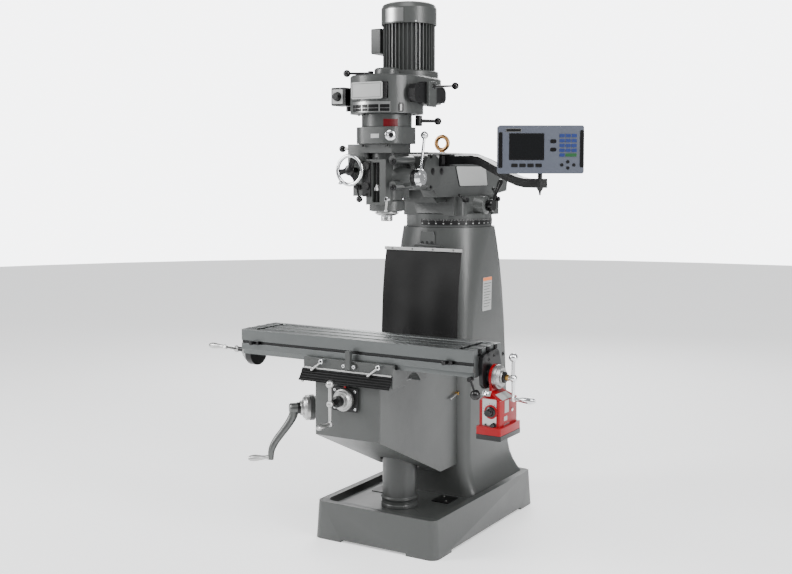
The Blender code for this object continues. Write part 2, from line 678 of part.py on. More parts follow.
node("saddle", moved(saddle_solid(), (0, 0, -KNEE_TOP)), GREY_PAINT, SADDLE, (0, 0, KNEE_TOP))

STOP_X = 0.012
STOP_FACE = -SADDLE_FRONT - GAP


def stop_bracket_solid():
    """Foot with rounded ends and an upright that reaches the groove of the table."""
    foot = prism(rounded((-0.033, 0.033), (-0.010, 0.010), 0.0098, 4), -0.010, 0, "Y")
    post = block((-0.011, 0.011), (-0.016, 0), (-0.012, 0.060))
    return joined(foot, post)


node("stop_bracket", stop_bracket_solid(), GREY_PAINT, SADDLE, (STOP_X, STOP_FACE, 0.770))

for side_name, lock_x in (("left", -0.108), ("right", 0.153)):
    at = (lock_x, STOP_FACE - 0.012, 0.781)
    axis = empty("saddle_lock_" + side_name + "_axis", at, SADDLE)
    lever_node("saddle_lock_" + side_name, CHROME, axis, at, (0, -1, 0), (-0.80, 0, -0.60),
               (0.060, 0.0042, 0.0044, 0.009, 0.024))

# ---------------------------------------------------------------- table

TABLE = empty("table_slide_axis", (0, TABLE_Y, TABLE_TOP), SADDLE)


def table_solid():
    """Table with three T-slots, a groove along its front and a narrow part below."""
    half = TABLE_WIDTH / 2
    slab = half - SLAB_INSET
    step = -TABLE_THICK
    top_groove = STOP_GROOVE_Z + STOP_GROOVE / 2 - TABLE_TOP
    outline = [(slab, step - SLAB_THICK), (slab, step), (half, step), (half, 0)]
    for centre in (SLOT_PITCH, 0, -SLOT_PITCH):
        neck, foot_half = SLOT_WIDTH / 2, SLOT_FOOT / 2
        outline += [(centre + neck, 0), (centre + neck, -SLOT_DEPTH), (centre + foot_half, -SLOT_DEPTH),
                    (centre + foot_half, -SLOT_DEPTH - SLOT_FOOT_DEPTH),
                    (centre - foot_half, -SLOT_DEPTH - SLOT_FOOT_DEPTH), (centre - foot_half, -SLOT_DEPTH),
                    (centre - neck, -SLOT_DEPTH), (centre - neck, 0)]
    outline += [(-half, 0), (-half, top_groove), (-half + STOP_GROOVE_DEPTH, top_groove),
                (-half + STOP_GROOVE_DEPTH, top_groove - STOP_GROOVE), (-half, top_groove - STOP_GROOVE),
                (-half, step), (-slab, step), (-slab, step - SLAB_THICK)]
    body = prism(outline, -TABLE_END, TABLE_END, "X")
    # open channel under the table for the screw
    channel = block((-TABLE_END - 0.01, TABLE_END + 0.01), (-0.020, 0.020), (step - SLAB_THICK - 0.01, step + 0.012))
    # chip pockets across the slots near both ends
    pockets = [block((side * (TABLE_END - 0.062) - 0.011, side * (TABLE_END - 0.062) + 0.011),
                     (-half + 0.018, half - 0.018), (-0.016, 0.01)) for side in (-1, 1)]
    return cut(body, channel, *pockets)


node("table", table_solid(), GROUND_STEEL, TABLE, (0, TABLE_Y, TABLE_TOP))

SCREW_AXIS = empty("table_screw_axis", (0, TABLE_Y, SCREW_Z), TABLE)
BEARING = SCREW_X_RADIUS + RUNNING


def left_bracket_solid():
    """Bearing bracket on the left end: flat top, round underside, bored for the screw."""
    half = 0.058
    outline = arc((0, 0), half, 200, 340, 12) + [(half, 0.020), (half, 0.052), (-half, 0.052), (-half, 0.020)]
    body = prism([(y, z) for y, z in outline], -0.030, 0, "X")
    bore = moved(turned([(0, -0.05), (BEARING, -0.05), (BEARING, 0.02), (0, 0.02)], 24), turn=(0, 90, 0))
    return cut(body, bore)


def right_bracket_solid():
    """Bearing plate on the right end: three lobes for its screws and a point towards the floor."""
    outline = [(-0.074, 0.050), (-0.070, 0.076), (-0.058, 0.084), (-0.010, 0.089), (0.052, 0.094),
               (0.066, 0.086), (0.080, 0.050), (0.088, 0.026), (0.076, 0.006), (0.060, -0.022),
               (0.030, -0.038), (-0.012, -0.042), (-0.046, -0.040), (-0.066, -0.024)]
    body = prism(outline, 0, BRACKET_THICK, "X")
    seat = moved(turned([(0, 0), (0.038, 0), (0.038, 0.012), (0, 0.012)], 28), (BRACKET_THICK - 0.001, 0, 0), (0, 90, 0))
    bore = moved(turned([(0, -0.01), (BEARING, -0.01), (BEARING, 0.05), (0, 0.05)], 24), turn=(0, 90, 0))
    return cut(joined(body, seat), bore)


LEFT_END = -TABLE_END - GAP
RIGHT_END = TABLE_END + GAP
node("left_bracket", left_bracket_solid(), BLACK_OXIDE, TABLE, (LEFT_END, TABLE_Y, SCREW_Z))
node("right_bracket", right_bracket_solid(), BLACK_OXIDE, TABLE, (RIGHT_END, TABLE_Y, SCREW_Z))

FEED_NECK = 0.010            # thickness of the feed unit's ring around the screw
FEED_X = RIGHT_END + BRACKET_THICK + 0.011 + GAP
DIAL_LEFT = LEFT_END - 0.030 - GAP
DIAL_RIGHT = FEED_X + FEED_NECK + GAP
screw = turned([(0, DIAL_LEFT + GAP * 2), (SCREW_X_RADIUS, DIAL_LEFT + GAP * 2),
                (SCREW_X_RADIUS, DIAL_RIGHT - GAP * 2), (0, DIAL_RIGHT - GAP * 2)], 24)
node("table_screw", screw, SATIN, SCREW_AXIS, (0, TABLE_Y, SCREW_Z), aimed((1, 0, 0)))


def end_crank_solid(dial_radius, thick, hub_length, reach, tilt):
    """Dial, hub and ball crank of one end of the table screw, along +Z from its dial's face."""
    dial = turned(dial_profile(dial_radius, thick, 0.016, hub_length), 22)
    stub = turned([(0, 0.001), (0.0086, 0.001), (0.0086, reach - 0.004), (0, reach - 0.004)], 15)
    crank = ball_crank_solid(TABLE_CRANK_THROW, 0.0165, 0.0145, 0.0070, 0.090, 0.0125)
    crank.transform(Matrix.Rotation(math.radians(tilt), 4, "Y"))
    crank.transform(Matrix.Translation((0, 0, reach)) @ Matrix.Rotation(math.radians(90), 4, "X"))
    return joined(dial, stub, crank)


RIGHT_REACH = 0.068
node("right_crank", end_crank_solid(0.045, 0.026, 0.012, RIGHT_REACH, 180), CHROME, SCREW_AXIS,
     (DIAL_RIGHT, TABLE_Y, SCREW_Z), aimed((1, 0, 0)))
node("left_crank", end_crank_solid(0.047, 0.030, 0.012, 0.088, -76), SATIN, SCREW_AXIS,
     (DIAL_LEFT, TABLE_Y, SCREW_Z), aimed((-1, 0, 0)))

# ---------------------------------------------------------------- table power feed

FEED_HALF_Y = 0.075
FEED_FRONT = -0.760
FEED_WIDTH = 0.083
FEED_OUTER = 0.6205          # X of the face away from the table
FEED_TOP = 0.687
FEED_FOOT = 0.566
FEED_FOOT_HEIGHT = 0.019


def feed_solid():
    """Box below the screw, a neck that leans up to it, and the ring that the screw passes through."""
    x0, x1 = FEED_OUTER - FEED_WIDTH, FEED_OUTER
    y0, y1 = FEED_FRONT, FEED_FRONT + 2 * FEED_HALF_Y
    box = prism(rounded((x0, x1), (y0, y1), 0.006, 3), FEED_FOOT, FEED_TOP)
    foot = prism(rounded((x0 - 0.004, x1 + 0.012), (y0 - 0.018, y1 + 0.004), 0.006, 3),
                 FEED_FOOT - FEED_FOOT_HEIGHT, FEED_FOOT + 0.028)
    roof = [[(x0 + 0.002, y0 + 0.002, FEED_TOP - 0.001), (x1 - 0.002, y0 + 0.002, FEED_TOP - 0.001),
             (x1 - 0.002, y1 - 0.002, FEED_TOP - 0.001), (x0 + 0.002, y1 - 0.002, FEED_TOP - 0.001)],
            [(FEED_X, y0 + 0.018, FEED_TOP + 0.029), (FEED_X + FEED_NECK, y0 + 0.018, FEED_TOP + 0.029),
             (FEED_X + FEED_NECK, y1 - 0.030, FEED_TOP + 0.029), (FEED_X, y1 - 0.030, FEED_TOP + 0.029)]]
    neck = block((FEED_X, FEED_X + FEED_NECK), (TABLE_Y - 0.040, TABLE_Y + 0.036), (FEED_TOP + 0.010, SCREW_Z - 0.020))
    ring = turned([(0, 0), (0.047, 0), (0.047, FEED_NECK), (0, FEED_NECK)], 36)
    ring = moved(ring, (FEED_X, TABLE_Y, SCREW_Z), (0, 90, 0))
    bore = turned([(0, -0.01), (BEARING, -0.01), (BEARING, 0.05), (0, 0.05)], 24)
    body = joined(box, foot, lofted(roof), neck, ring)
    return cut(body, moved(bore, (FEED_X, TABLE_Y, SCREW_Z), (0, 90, 0)))


node("feed_housing", feed_solid(), RED_PAINT, TABLE, (0, 0, 0))
KNOB_AT = (0.5855, FEED_FRONT - GAP, 0.648)
FEED_KNOB = empty("feed_knob_axis", KNOB_AT, TABLE)
node("feed_knob", turned([(0, 0), (0.020, 0), (0.020, 0.004), (0.0135, 0.006), (0.0125, 0.030), (0.011, 0.032),
                          (0, 0.032)], 24), BLACK_PLASTIC, FEED_KNOB, KNOB_AT, aimed((0, -1, 0)))
FEED_LEVER_AT = (0.5290, TABLE_Y - TABLE_WIDTH / 2 - 0.013, 0.7700)

# ---------------------------------------------------------------- turret and ram

TURRET = empty("turret_axis", (0, 0, TURRET_Z), MACHINE)
PINION_AT = (0.216, -0.020, TURRET_Z + 0.094)
DOVETAIL_GAP = 2 * GAP


def turret_solid():
    """Round flange, a block above it with the slot for the ram, and a boss for the ram's pinion."""
    flange = turned([(0, 0), (TURRET_RADIUS, 0), (TURRET_RADIUS, TURRET_RING - 0.004),
                     (TURRET_RADIUS - 0.004, TURRET_RING), (0, TURRET_RING)], 36)
    top = TURRET_RING + TURRET_BLOCK
    body = prism(rounded((-BLOCK_HALF, BLOCK_HALF), (-BLOCK_FRONT + 0.034, BLOCK_BACK), 0.016, 3),
                 TURRET_RING - 0.01, top)
    nose = block((-0.118, 0.118), (-BLOCK_FRONT + 0.012, -0.05), (TURRET_RING - 0.01, top))
    boss = turned([(0, 0.05), (0.060, 0.05), (0.040, PINION_AT[0] - 0.022), (0.026, PINION_AT[0] - 0.016),
                   (0, PINION_AT[0] - 0.016)], 32)
    boss = moved(boss, (0, PINION_AT[1], PINION_AT[2] - TURRET_Z), (0, 90, 0))
    tie = block((-0.10, 0.185), (0.060, 0.118), (TURRET_RING - 0.01, top - 0.004))
    root, foot_half = RAM_ROOT + DOVETAIL_GAP, RAM_FOOT + DOVETAIL_GAP
    low = top - RAM_DOVETAIL - DOVETAIL_GAP
    slot = prism([(-root, top + 0.05), (-root, top), (-foot_half, low), (foot_half, low), (root, top),
                  (root, top + 0.05)], -0.4, 0.4, "Y")
    above = block((-0.4, 0.4), (-0.4, 0.4), (top, top + 0.1))
    return cut(joined(flange, body, nose, boss, tie), slot, above)


node("turret", turret_solid(), GREY_PAINT, TURRET, (0, 0, TURRET_Z))

RAM = empty("ram_axis", (0, 0, RAM_Z), TURRET)
NOD = empty("head_nod_axis", (0, NOD_Y, TILT_Z), RAM)


def ram_solid():
    """Ram: sides that lean in at the top, a dovetail below, and two cheeks that hold the knuckle."""
    front = NOD_Y + 0.009
    low, high = HEAD_RISE - CHEEK_RADIUS + 0.005, HEAD_RISE + CHEEK_RADIUS - 0.004
    profile = [(front, low), (front + 0.032, 0), (0.200, 0), (RAM_BACK - 0.021, 0.017), (RAM_BACK, 0.113),
               (0.215, 0.163), (0.113, RAM_HEIGHT - 0.001), (0.040, RAM_HEIGHT),
               (front + 0.022, RAM_HEIGHT), (front, high)]
    side = prism(profile, -RAM_HALF - 0.02, RAM_HALF + 0.02, "X")
    lean = [(-RAM_HALF, -0.01), (RAM_HALF, -0.01), (RAM_HALF, RAM_SHOULDER),
            (RAM_HALF - 0.008, RAM_SHOULDER + 0.022), (RAM_TOP_HALF, RAM_HEIGHT - 0.004),
            (RAM_TOP_HALF - 0.012, RAM_HEIGHT + 0.001), (-RAM_TOP_HALF + 0.012, RAM_HEIGHT + 0.001),
            (-RAM_TOP_HALF, RAM_HEIGHT - 0.004), (-RAM_HALF + 0.008, RAM_SHOULDER + 0.022),
            (-RAM_HALF, RAM_SHOULDER)]
    body = boolean(side, [prism(lean, front - 0.01, RAM_BACK + 0.01, "Y")], "INTERSECT")
    wide = RAM_HALF + CHEEK_PROUD
    cheek = turned([(0, -wide), (CHEEK_RADIUS, -wide), (CHEEK_RADIUS, wide), (0, wide)], 36)
    cheek = moved(cheek, (0, NOD_Y, HEAD_RISE), (0, 90, 0))
    gap_half = TONGUE_HALF + GAP
    gap_slot = block((-gap_half, gap_half), (NOD_Y - 0.1, NOD_Y + CHEEK_RADIUS + 0.004), (-0.01, RAM_HEIGHT + 0.01))
    dovetail = prism([(-RAM_ROOT, 0.01), (-RAM_ROOT, -GAP), (-RAM_FOOT, -RAM_DOVETAIL), (RAM_FOOT, -RAM_DOVETAIL),
                      (RAM_ROOT, -GAP), (RAM_ROOT, 0.01)], NOD_Y + CHEEK_RADIUS + 0.012, RAM_BACK - 0.06, "Y")
    return cut(joined(body, cheek, dovetail), gap_slot)


node("ram", ram_solid(), GREY_PAINT, RAM, (0, 0, RAM_Z))

EYE_RING = 0.0295
EYE_BAR = 0.008


def eyebolt_solid():
    """Lifting eye on a short collar."""
    points, faces = [], []
    around, section = 16, 6
    for i in range(around):
        a = 2 * math.pi * i / around
        for k in range(section):
            b = 2 * math.pi * k / section
            r = EYE_RING + EYE_BAR * math.cos(b)
            points.append((r * math.cos(a), EYE_BAR * math.sin(b), r * math.sin(a) + EYE_RING + EYE_BAR + 0.004))
            ni, nk = (i + 1) % around, (k + 1) % section
            faces.append((i * section + k, ni * section + k, ni * section + nk, i * section + nk))
    collar = turned([(0, 0), (0.013, 0), (0.013, 0.004), (0.009, 0.009), (0, 0.009)], 24)
    return joined(mesh_from("eye", points, faces), collar)


node("eyebolt", eyebolt_solid(), YELLOW_ZINC, RAM, (0, -0.067, RAM_Z + RAM_HEIGHT + GAP))

for spot, lock_y, lean in (("front", -0.143, (0, -0.86, 0.30)), ("rear", 0.089, (0, -0.70, 0.72))):
    face = BLOCK_HALF if spot == "front" else 0.185
    at = (face + 0.009 + GAP, lock_y, TURRET_Z + TURRET_RING + 0.058)
    axis = empty("ram_lock_" + spot + "_axis", at, TURRET)
    lever_node("ram_lock_" + spot, BLACK_OXIDE, axis, at, (1, 0, 0), lean,
               (0.062, 0.0055, 0.0075, 0.0105, 0.018))

PINION = empty("ram_pinion_axis", PINION_AT, TURRET)


def pinion_lever_solid():
    """Ratchet handle: round hub and a thick tapering grip, with its hub along Y and its grip along +Z."""
    hub = moved(turned([(0, -0.014), (0.024, -0.014), (0.027, -0.008), (0.027, 0.008), (0.022, 0.016),
                        (0, 0.016)], 28), turn=(90, 0, 0))
    grip_profile = [(0, 0), (0.0085, 0), (0.0075, 0.070), (0.0085, 0.086), (0.0125, 0.122), (0.0125, 0.138),
                    (0.009, 0.146), (0, 0.148)]
    return joined(hub, turned(grip_profile, 16))


lever = Vector((0, 0.68, 0.733)).normalized()
hub_y = Vector((1, 0, 0))
node("ram_pinion_lever", pinion_lever_solid(), BLACK_PLASTIC, PINION, PINION_AT,
     Matrix((hub_y.cross(lever), hub_y, lever)).transposed().to_euler())

# ---------------------------------------------------------------- display on its arm

ARM_AT = (ARM_PIVOT[0], ARM_PIVOT[1], RAM_Z + 0.1535)
ARM = empty("display_arm_axis", ARM_AT, RAM)
ARM_DROP = 0.088


def display_bracket_solid():
    """Fork on the ram's side: two ears above and below the arm."""
    ears = block((-0.034, 0.018), (-0.022, 0.022), (-ARM_SECTION / 2 - 0.008, ARM_SECTION / 2 + 0.008))
    mouth = block((-0.019, 0.03), (-0.03, 0.03), (-ARM_SECTION / 2 - GAP, ARM_SECTION / 2 + GAP))
    return cut(ears, mouth)


bracket = display_bracket_solid()
clear = block((-0.2, RAM_HALF + CHEEK_PROUD + GAP - ARM_PIVOT[0]), (-0.1, 0.1), (-0.1, 0.1))
node("display_bracket", cut(bracket, clear), BLACK_OXIDE, RAM, ARM_AT)
ARM_RUN = Vector((ARM_REACH[0] - ARM_PIVOT[0], ARM_REACH[1] - ARM_PIVOT[1], 0))
ARM_ANGLE = math.atan2(ARM_RUN.y, ARM_RUN.x)
POST_RADIUS = 0.0085
POST_TOP = 0.034


def display_arm_solid():
    """Square tube with a dog-leg, and a pin near its end on which the display turns."""
    length, half = ARM_RUN.length, ARM_SECTION / 2
    line = [(0, 0), (0.205, 0), (0.255, -0.005), (0.465, -ARM_DROP + 0.018), (0.515, -ARM_DROP + 0.006),
            (0.565, -ARM_DROP), (length + 0.022, -ARM_DROP)]
    upper = [(x, z + half) for x, z in line]
    lower = [(x, z - half) for x, z in reversed(line)]
    tube = prism(upper + lower, -half, half, "Y")
    low = -ARM_DROP - half
    pin = turned([(0, low - 0.028), (0.0035, low - 0.026), (0.0045, low - 0.014), (0.011, low - 0.004),
                  (0.0125, low + 0.002), (POST_RADIUS, low + 0.004), (POST_RADIUS, -ARM_DROP + half + POST_TOP),
                  (0, -ARM_DROP + half + POST_TOP)], 20)
    return joined(tube, moved(pin, (length, 0, 0)))


arm = display_arm_solid()
shift = block((-0.1, -0.0145), (-0.1, 0.1), (-0.1, 0.1))
node("display_arm", cut(arm, shift), BLACK_OXIDE, ARM, ARM_AT, (0, 0, ARM_ANGLE))
CONSOLE_Z = ARM_AT[2] - ARM_DROP + ARM_SECTION / 2 + POST_TOP - 0.016
CONSOLE_AT = (ARM_REACH[0], ARM_REACH[1], CONSOLE_Z)
CONSOLE = empty("display_axis", CONSOLE_AT, ARM)


def console_solid():
    """Flat case with round edges and a socket in its underside for the post."""
    w, h = CONSOLE_WIDTH / 2, CONSOLE_HEIGHT
    case = prism(rounded((-w, w), (0, h), 0.008, 3), -CONSOLE_DEPTH / 2, CONSOLE_DEPTH / 2, "Y")
    socket = turned([(0, -0.01), (POST_RADIUS + RUNNING, -0.01), (POST_RADIUS + RUNNING, 0.0165), (0, 0.0165)], 20)
    return cut(case, socket)


node("display_console", console_solid(), CONSOLE_PAINT, CONSOLE, CONSOLE_AT, (0, 0, CONSOLE_TURN))

# ---------------------------------------------------------------- knuckle and head

TILT = empty("head_tilt_axis", (0, TILT_PLANE, TILT_Z), NOD)


def adapter_solid():
    """Knuckle: a round tongue between the ram's cheeks and a round flange in front."""
    tongue = turned([(0, -TONGUE_HALF), (CHEEK_RADIUS, -TONGUE_HALF), (CHEEK_RADIUS, TONGUE_HALF),
                     (0, TONGUE_HALF)], 48)
    tongue = moved(tongue, (0, NOD_Y, 0), (0, 90, 0))
    web = block((-TONGUE_HALF, TONGUE_HALF), (TILT_PLANE + 0.002, NOD_Y), (-0.060, 0.060))
    flange = moved(turned([(0, 0), (TILT_RADIUS, 0), (TILT_RADIUS, TILT_FLANGE), (0, TILT_FLANGE)], 36),
                   (0, TILT_PLANE + TILT_FLANGE, 0), (90, 0, 0))
    return joined(tongue, web, flange)


node("ram_adapter", adapter_solid(), GREY_PAINT, NOD, (0, 0, TILT_Z))

BOLT_X = 0.088
BOLT_Z = 0.050
HUB_Z = -0.020               # height of the quill feed shaft from the tilt axis
FEED_FACE = 0.128            # X of the face that carries the feed hub
HEAD_FACE = TILT_PLANE - GAP


def head_solid():
    """Quill housing with its bolt arms, feed shaft boss, stop slot and worm box, bored for the quill."""
    barrel = turned([(0, HOUSING_BOTTOM - 0.004), (0.058, HOUSING_BOTTOM - 0.004), (QUILL_HOUSING, HOUSING_BOTTOM),
                     (QUILL_HOUSING, -0.115), (0.064, -0.110), (0.064, HOUSING_TOP - 0.003),
                     (0, HOUSING_TOP - 0.003)], 28)
    barrel = moved(barrel, (0, SPINDLE_Y, 0))
    spine = block((-0.060, 0.060), (SPINDLE_Y, HEAD_FACE - 0.001), (-0.105, HOUSING_TOP - 0.002))
    flange = moved(turned([(0, 0), (TILT_RADIUS, 0), (TILT_RADIUS, 0.022), (0, 0.022)], 28),
                   (0, HEAD_FACE, 0), (90, 0, 0))
    arms = []
    for sx in (-1, 1):
        for sz in (-1, 1):
            bolt_arm = turned([(0, 0.004), (0.0165, 0.004), (0.0165, 0.158), (0, 0.158)], 12)
            arms.append(moved(bolt_arm, (sx * BOLT_X * 0.86, HEAD_FACE, sz * BOLT_Z), (90, 0, 0)))
    feed_boss = turned([(0, 0), (0.052, 0), (0.052, 0.040), (0.036, FEED_FACE - 0.030), (0.036, FEED_FACE),
                        (0, FEED_FACE)], 22)
    feed_boss = moved(feed_boss, (0, SPINDLE_Y, HUB_Z), (0, 90, 0))
    slot_box = block((-0.040, 0.052), (-0.622, SPINDLE_Y), (-0.128, 0.052))
    worm_box = prism(rounded((-0.145, -0.050), (SPINDLE_Y - 0.072, SPINDLE_Y + 0.040), 0.010, 3), 0.030,
                     HOUSING_TOP - 0.001)
    worm_leg = prism(rounded((-0.125, -0.045), (SPINDLE_Y - 0.066, SPINDLE_Y + 0.030), 0.012, 3), -0.095, 0.035)
    top = block((-0.080, 0.072), (SPINDLE_Y - 0.082, SPINDLE_Y + 0.066), (0.078, HOUSING_TOP))
    body = joined(barrel, spine, flange, *arms, feed_boss, slot_box, worm_box, worm_leg, top)
    bore = moved(turned([(0, -0.3), (QUILL_RADIUS + RUNNING, -0.3), (QUILL_RADIUS + RUNNING, 0.3), (0, 0.3)], 32),
                 (0, SPINDLE_Y, 0))
    slot = block((-0.010, 0.024), (-0.63, -0.596), (-0.118, 0.040))
    return cut(body, bore, slot)


HEAD = TILT
node("head_casting", head_solid(), GREY_PAINT, HEAD, (0, 0, TILT_Z))


def bored(profile, hole, low, high, sides=30):
    """Turned solid with a hole along its axis."""
    drill = turned([(0, low), (hole, low), (hole, high), (0, high)], 24)
    return cut(turned(profile, sides), drill)


SPINDLE_HOLE = SPINDLE_RADIUS + RUNNING
box = prism(rounded((-GEAR_BOX_HALF, GEAR_BOX_HALF), (-GEAR_BOX_HALF, GEAR_BOX_BACK), 0.062, 6), 0, GEAR_BOX_HEIGHT)
drill = turned([(0, -0.01), (SPINDLE_HOLE, -0.01), (SPINDLE_HOLE, 0.1), (0, 0.1)], 24)
node("gear_box", cut(box, drill), GREY_PAINT, HEAD, (0, SPINDLE_Y, GEAR_BOX_Z))
node("clutch_ring", bored([(0, 0), (RING_RADIUS, 0), (RING_RADIUS, RING_HEIGHT), (0, RING_HEIGHT)],
                          SPINDLE_HOLE, -0.01, 0.1, 48), GREY_PAINT, HEAD, (0, SPINDLE_Y, RING_Z))
CENTRES = MOTOR_Y - SPINDLE_Y


def two_circle_outline(first, second, distance, steps=12):
    """Outline that wraps two circles on the Y axis, the first at 0 and the second at `distance`."""
    lean = math.degrees(math.asin((first - second) / distance))
    rear = arc((0, distance), second, lean, 180 - lean, steps)
    front = arc((0, 0), first, 180 - lean, 360 + lean, steps)
    return rear + front


def belt_housing_solid():
    """Cover for the belt: deep round front, shallower rear below the motor, hollow inside."""
    front = turned([(0, 0), (BELT_FRONT_RADIUS, 0), (BELT_FRONT_RADIUS, BELT_HEIGHT - 0.006),
                    (BELT_FRONT_RADIUS - 0.006, BELT_HEIGHT), (0, BELT_HEIGHT)], 36)
    whole = two_circle_outline(BELT_FRONT_RADIUS, BELT_REAR_RADIUS, CENTRES)
    top = two_circle_outline(BELT_FRONT_RADIUS - 0.006, BELT_REAR_RADIUS - 0.006, CENTRES)
    rear = lofted([[(x, y, BELT_STEP) for x, y in whole], [(x, y, BELT_HEIGHT - 0.006) for x, y in whole],
                   [(x, y, BELT_HEIGHT) for x, y in top]])
    room = two_circle_outline(BELT_FRONT_RADIUS - BELT_WALL, BELT_REAR_RADIUS - BELT_WALL, CENTRES, 10)
    hollow = prism(room, BELT_STEP + BELT_WALL, BELT_HEIGHT - BELT_WALL)
    spindle_hole = turned([(0, -0.01), (SPINDLE_HOLE, -0.01), (SPINDLE_HOLE, 0.08), (0, 0.08)], 24)
    motor_hole = turned([(0, 0.10), (0.024, 0.10), (0.024, 0.2), (0, 0.2)], 24)
    cap = turned([(0, BELT_HEIGHT - 0.003), (0.050, BELT_HEIGHT - 0.003), (0.050, BELT_HEIGHT + 0.026),
                  (0.044, BELT_HEIGHT + 0.032), (0, BELT_HEIGHT + 0.032)], 32)
    cap_hole = turned([(0, 0.12), (SPINDLE_HOLE, 0.12), (SPINDLE_HOLE, 0.3), (0, 0.3)], 24)
    return cut(joined(rear, front, cap), hollow, spindle_hole, moved(motor_hole, (0, CENTRES, 0)), cap_hole)


node("belt_housing", belt_housing_solid(), GREY_PAINT, HEAD, (0, SPINDLE_Y, BELT_Z))

BELT_LOW = BELT_STEP + BELT_WALL + 0.012
BELT_TALL = 0.028
MOTOR_PULLEY = 0.040
SPINDLE_PULLEY = 0.072
BELT_THICK = 0.009
SHAFT_RADIUS = 0.014
SHAFT_DEPTH = 0.040
PULLEY_FLANGE = 0.006


def pulley_profile(radius):
    """Flat-rimmed pulley with a flange below and above the belt."""
    low, high = -PULLEY_FLANGE, BELT_TALL + PULLEY_FLANGE
    rim = radius + BELT_THICK
    return [(0, low), (rim, low), (rim, -GAP), (radius, -GAP), (radius, BELT_TALL + GAP), (rim, BELT_TALL + GAP),
            (rim, high), (0, high)]


PULLEY_Z = BELT_Z + BELT_LOW
motor_shaft = pulley_profile(MOTOR_PULLEY)[:-1] + [
    (SHAFT_RADIUS, BELT_TALL + PULLEY_FLANGE), (SHAFT_RADIUS, MOTOR_Z - PULLEY_Z + SHAFT_DEPTH),
    (0, MOTOR_Z - PULLEY_Z + SHAFT_DEPTH)]
MOTOR_TURN = empty("motor_pulley_axis", (0, MOTOR_Y, PULLEY_Z), HEAD)
node("motor_pulley", turned(motor_shaft, 24), SATIN, MOTOR_TURN, (0, MOTOR_Y, PULLEY_Z))
PULLEY_TURN = empty("spindle_pulley_axis", (0, SPINDLE_Y, PULLEY_Z), HEAD)
node("spindle_pulley", bored(pulley_profile(SPINDLE_PULLEY), SPINDLE_HOLE, -0.1, 0.1), SATIN, PULLEY_TURN,
     (0, SPINDLE_Y, PULLEY_Z))
belt_out = prism(two_circle_outline(SPINDLE_PULLEY + GAP + BELT_THICK, MOTOR_PULLEY + GAP + BELT_THICK, CENTRES, 12),
                 0, BELT_TALL)
belt_in = prism(two_circle_outline(SPINDLE_PULLEY + GAP * 2, MOTOR_PULLEY + GAP * 2, CENTRES, 18), -0.01, BELT_TALL + 0.01)
node("drive_belt", cut(belt_out, belt_in), RUBBER, HEAD, (0, SPINDLE_Y, PULLEY_Z))


def motor_solid():
    """Finned body on a round flange, with a blind hole for its shaft."""
    outline = []
    for i in range(FIN_COUNT):
        step = 360 / FIN_COUNT
        for radius, turn in ((MOTOR_CORE, 0.0), (MOTOR_CORE, 0.44), (MOTOR_RADIUS, 0.56), (MOTOR_RADIUS, 0.88)):
            a = math.radians((i + turn) * step)
            outline.append((radius * math.cos(a), radius * math.sin(a)))
    body = prism(outline, MOTOR_FLANGE_THICK - 0.002, MOTOR_FLANGE_THICK + MOTOR_HEIGHT)
    flange = turned([(0, 0), (MOTOR_FLANGE, 0), (MOTOR_FLANGE, MOTOR_FLANGE_THICK - 0.008),
                     (MOTOR_FLANGE - 0.008, MOTOR_FLANGE_THICK), (0, MOTOR_FLANGE_THICK)], 48)
    hole = turned([(0, -0.01), (SHAFT_RADIUS + RUNNING, -0.01), (SHAFT_RADIUS + RUNNING, SHAFT_DEPTH + 0.002),
                   (0, SHAFT_DEPTH + 0.002)], 24)
    return cut(joined(flange, body), hole)


node("motor_body", motor_solid(), GREY_PAINT, HEAD, (0, MOTOR_Y, MOTOR_Z))
FAN_Z = MOTOR_Z + MOTOR_FLANGE_THICK + MOTOR_HEIGHT + GAP
fan_outer = [(FAN_RADIUS, 0), (FAN_RADIUS, FAN_HEIGHT - 0.026), (FAN_RADIUS - 0.007, FAN_HEIGHT - 0.010),
             (FAN_RADIUS - 0.022, FAN_HEIGHT - 0.003), (0, FAN_HEIGHT)]
fan_inner = [(0, FAN_HEIGHT - FAN_WALL), (FAN_RADIUS - 0.023, FAN_HEIGHT - 0.006),
             (FAN_RADIUS - 0.010, FAN_HEIGHT - 0.013), (FAN_RADIUS - FAN_WALL, FAN_HEIGHT - 0.028),
             (FAN_RADIUS - FAN_WALL, 0)]
node("fan_cover", turned(fan_outer + fan_inner, 28, tube=True), GREY_PAINT, HEAD, (0, MOTOR_Y, FAN_Z))
TERMINAL_Z = MOTOR_Z + 0.107
node("terminal_box", prism(rounded((-0.050, 0.050), (0, 0.105), 0.006, 3), -MOTOR_RADIUS - 0.048,
                           -MOTOR_RADIUS - GAP, "X"), GREY_PAINT, HEAD, (0, MOTOR_Y, TERMINAL_Z))

# ---------------------------------------------------------------- levers and boxes on the head

SWITCH_SIZE = (0.070, 0.072, 0.074)
SWITCH_RIGHT = -BELT_FRONT_RADIUS - 0.0015
SWITCH_FRONT = -0.604
SWITCH_Z = BELT_Z + 0.036
SWITCH_AT = (SWITCH_RIGHT - SWITCH_SIZE[0] / 2 - 0.004, SWITCH_FRONT - GAP, SWITCH_Z + SWITCH_SIZE[2] / 2)
node("switch_box", prism(rounded((SWITCH_RIGHT - SWITCH_SIZE[0], SWITCH_RIGHT), (0, SWITCH_SIZE[2]), 0.006, 3),
                         SWITCH_FRONT, SWITCH_FRONT + SWITCH_SIZE[1], "Y"), BLACK_PLASTIC, HEAD, (0, 0, SWITCH_Z))
SWITCH_TURN = empty("switch_knob_axis", SWITCH_AT, HEAD)
node("switch_knob", turned([(0, 0), (0.017, 0), (0.015, 0.016), (0.013, 0.018), (0, 0.018)], 20), BLACK_PLASTIC,
     SWITCH_TURN, SWITCH_AT, aimed((0, -1, 0)))

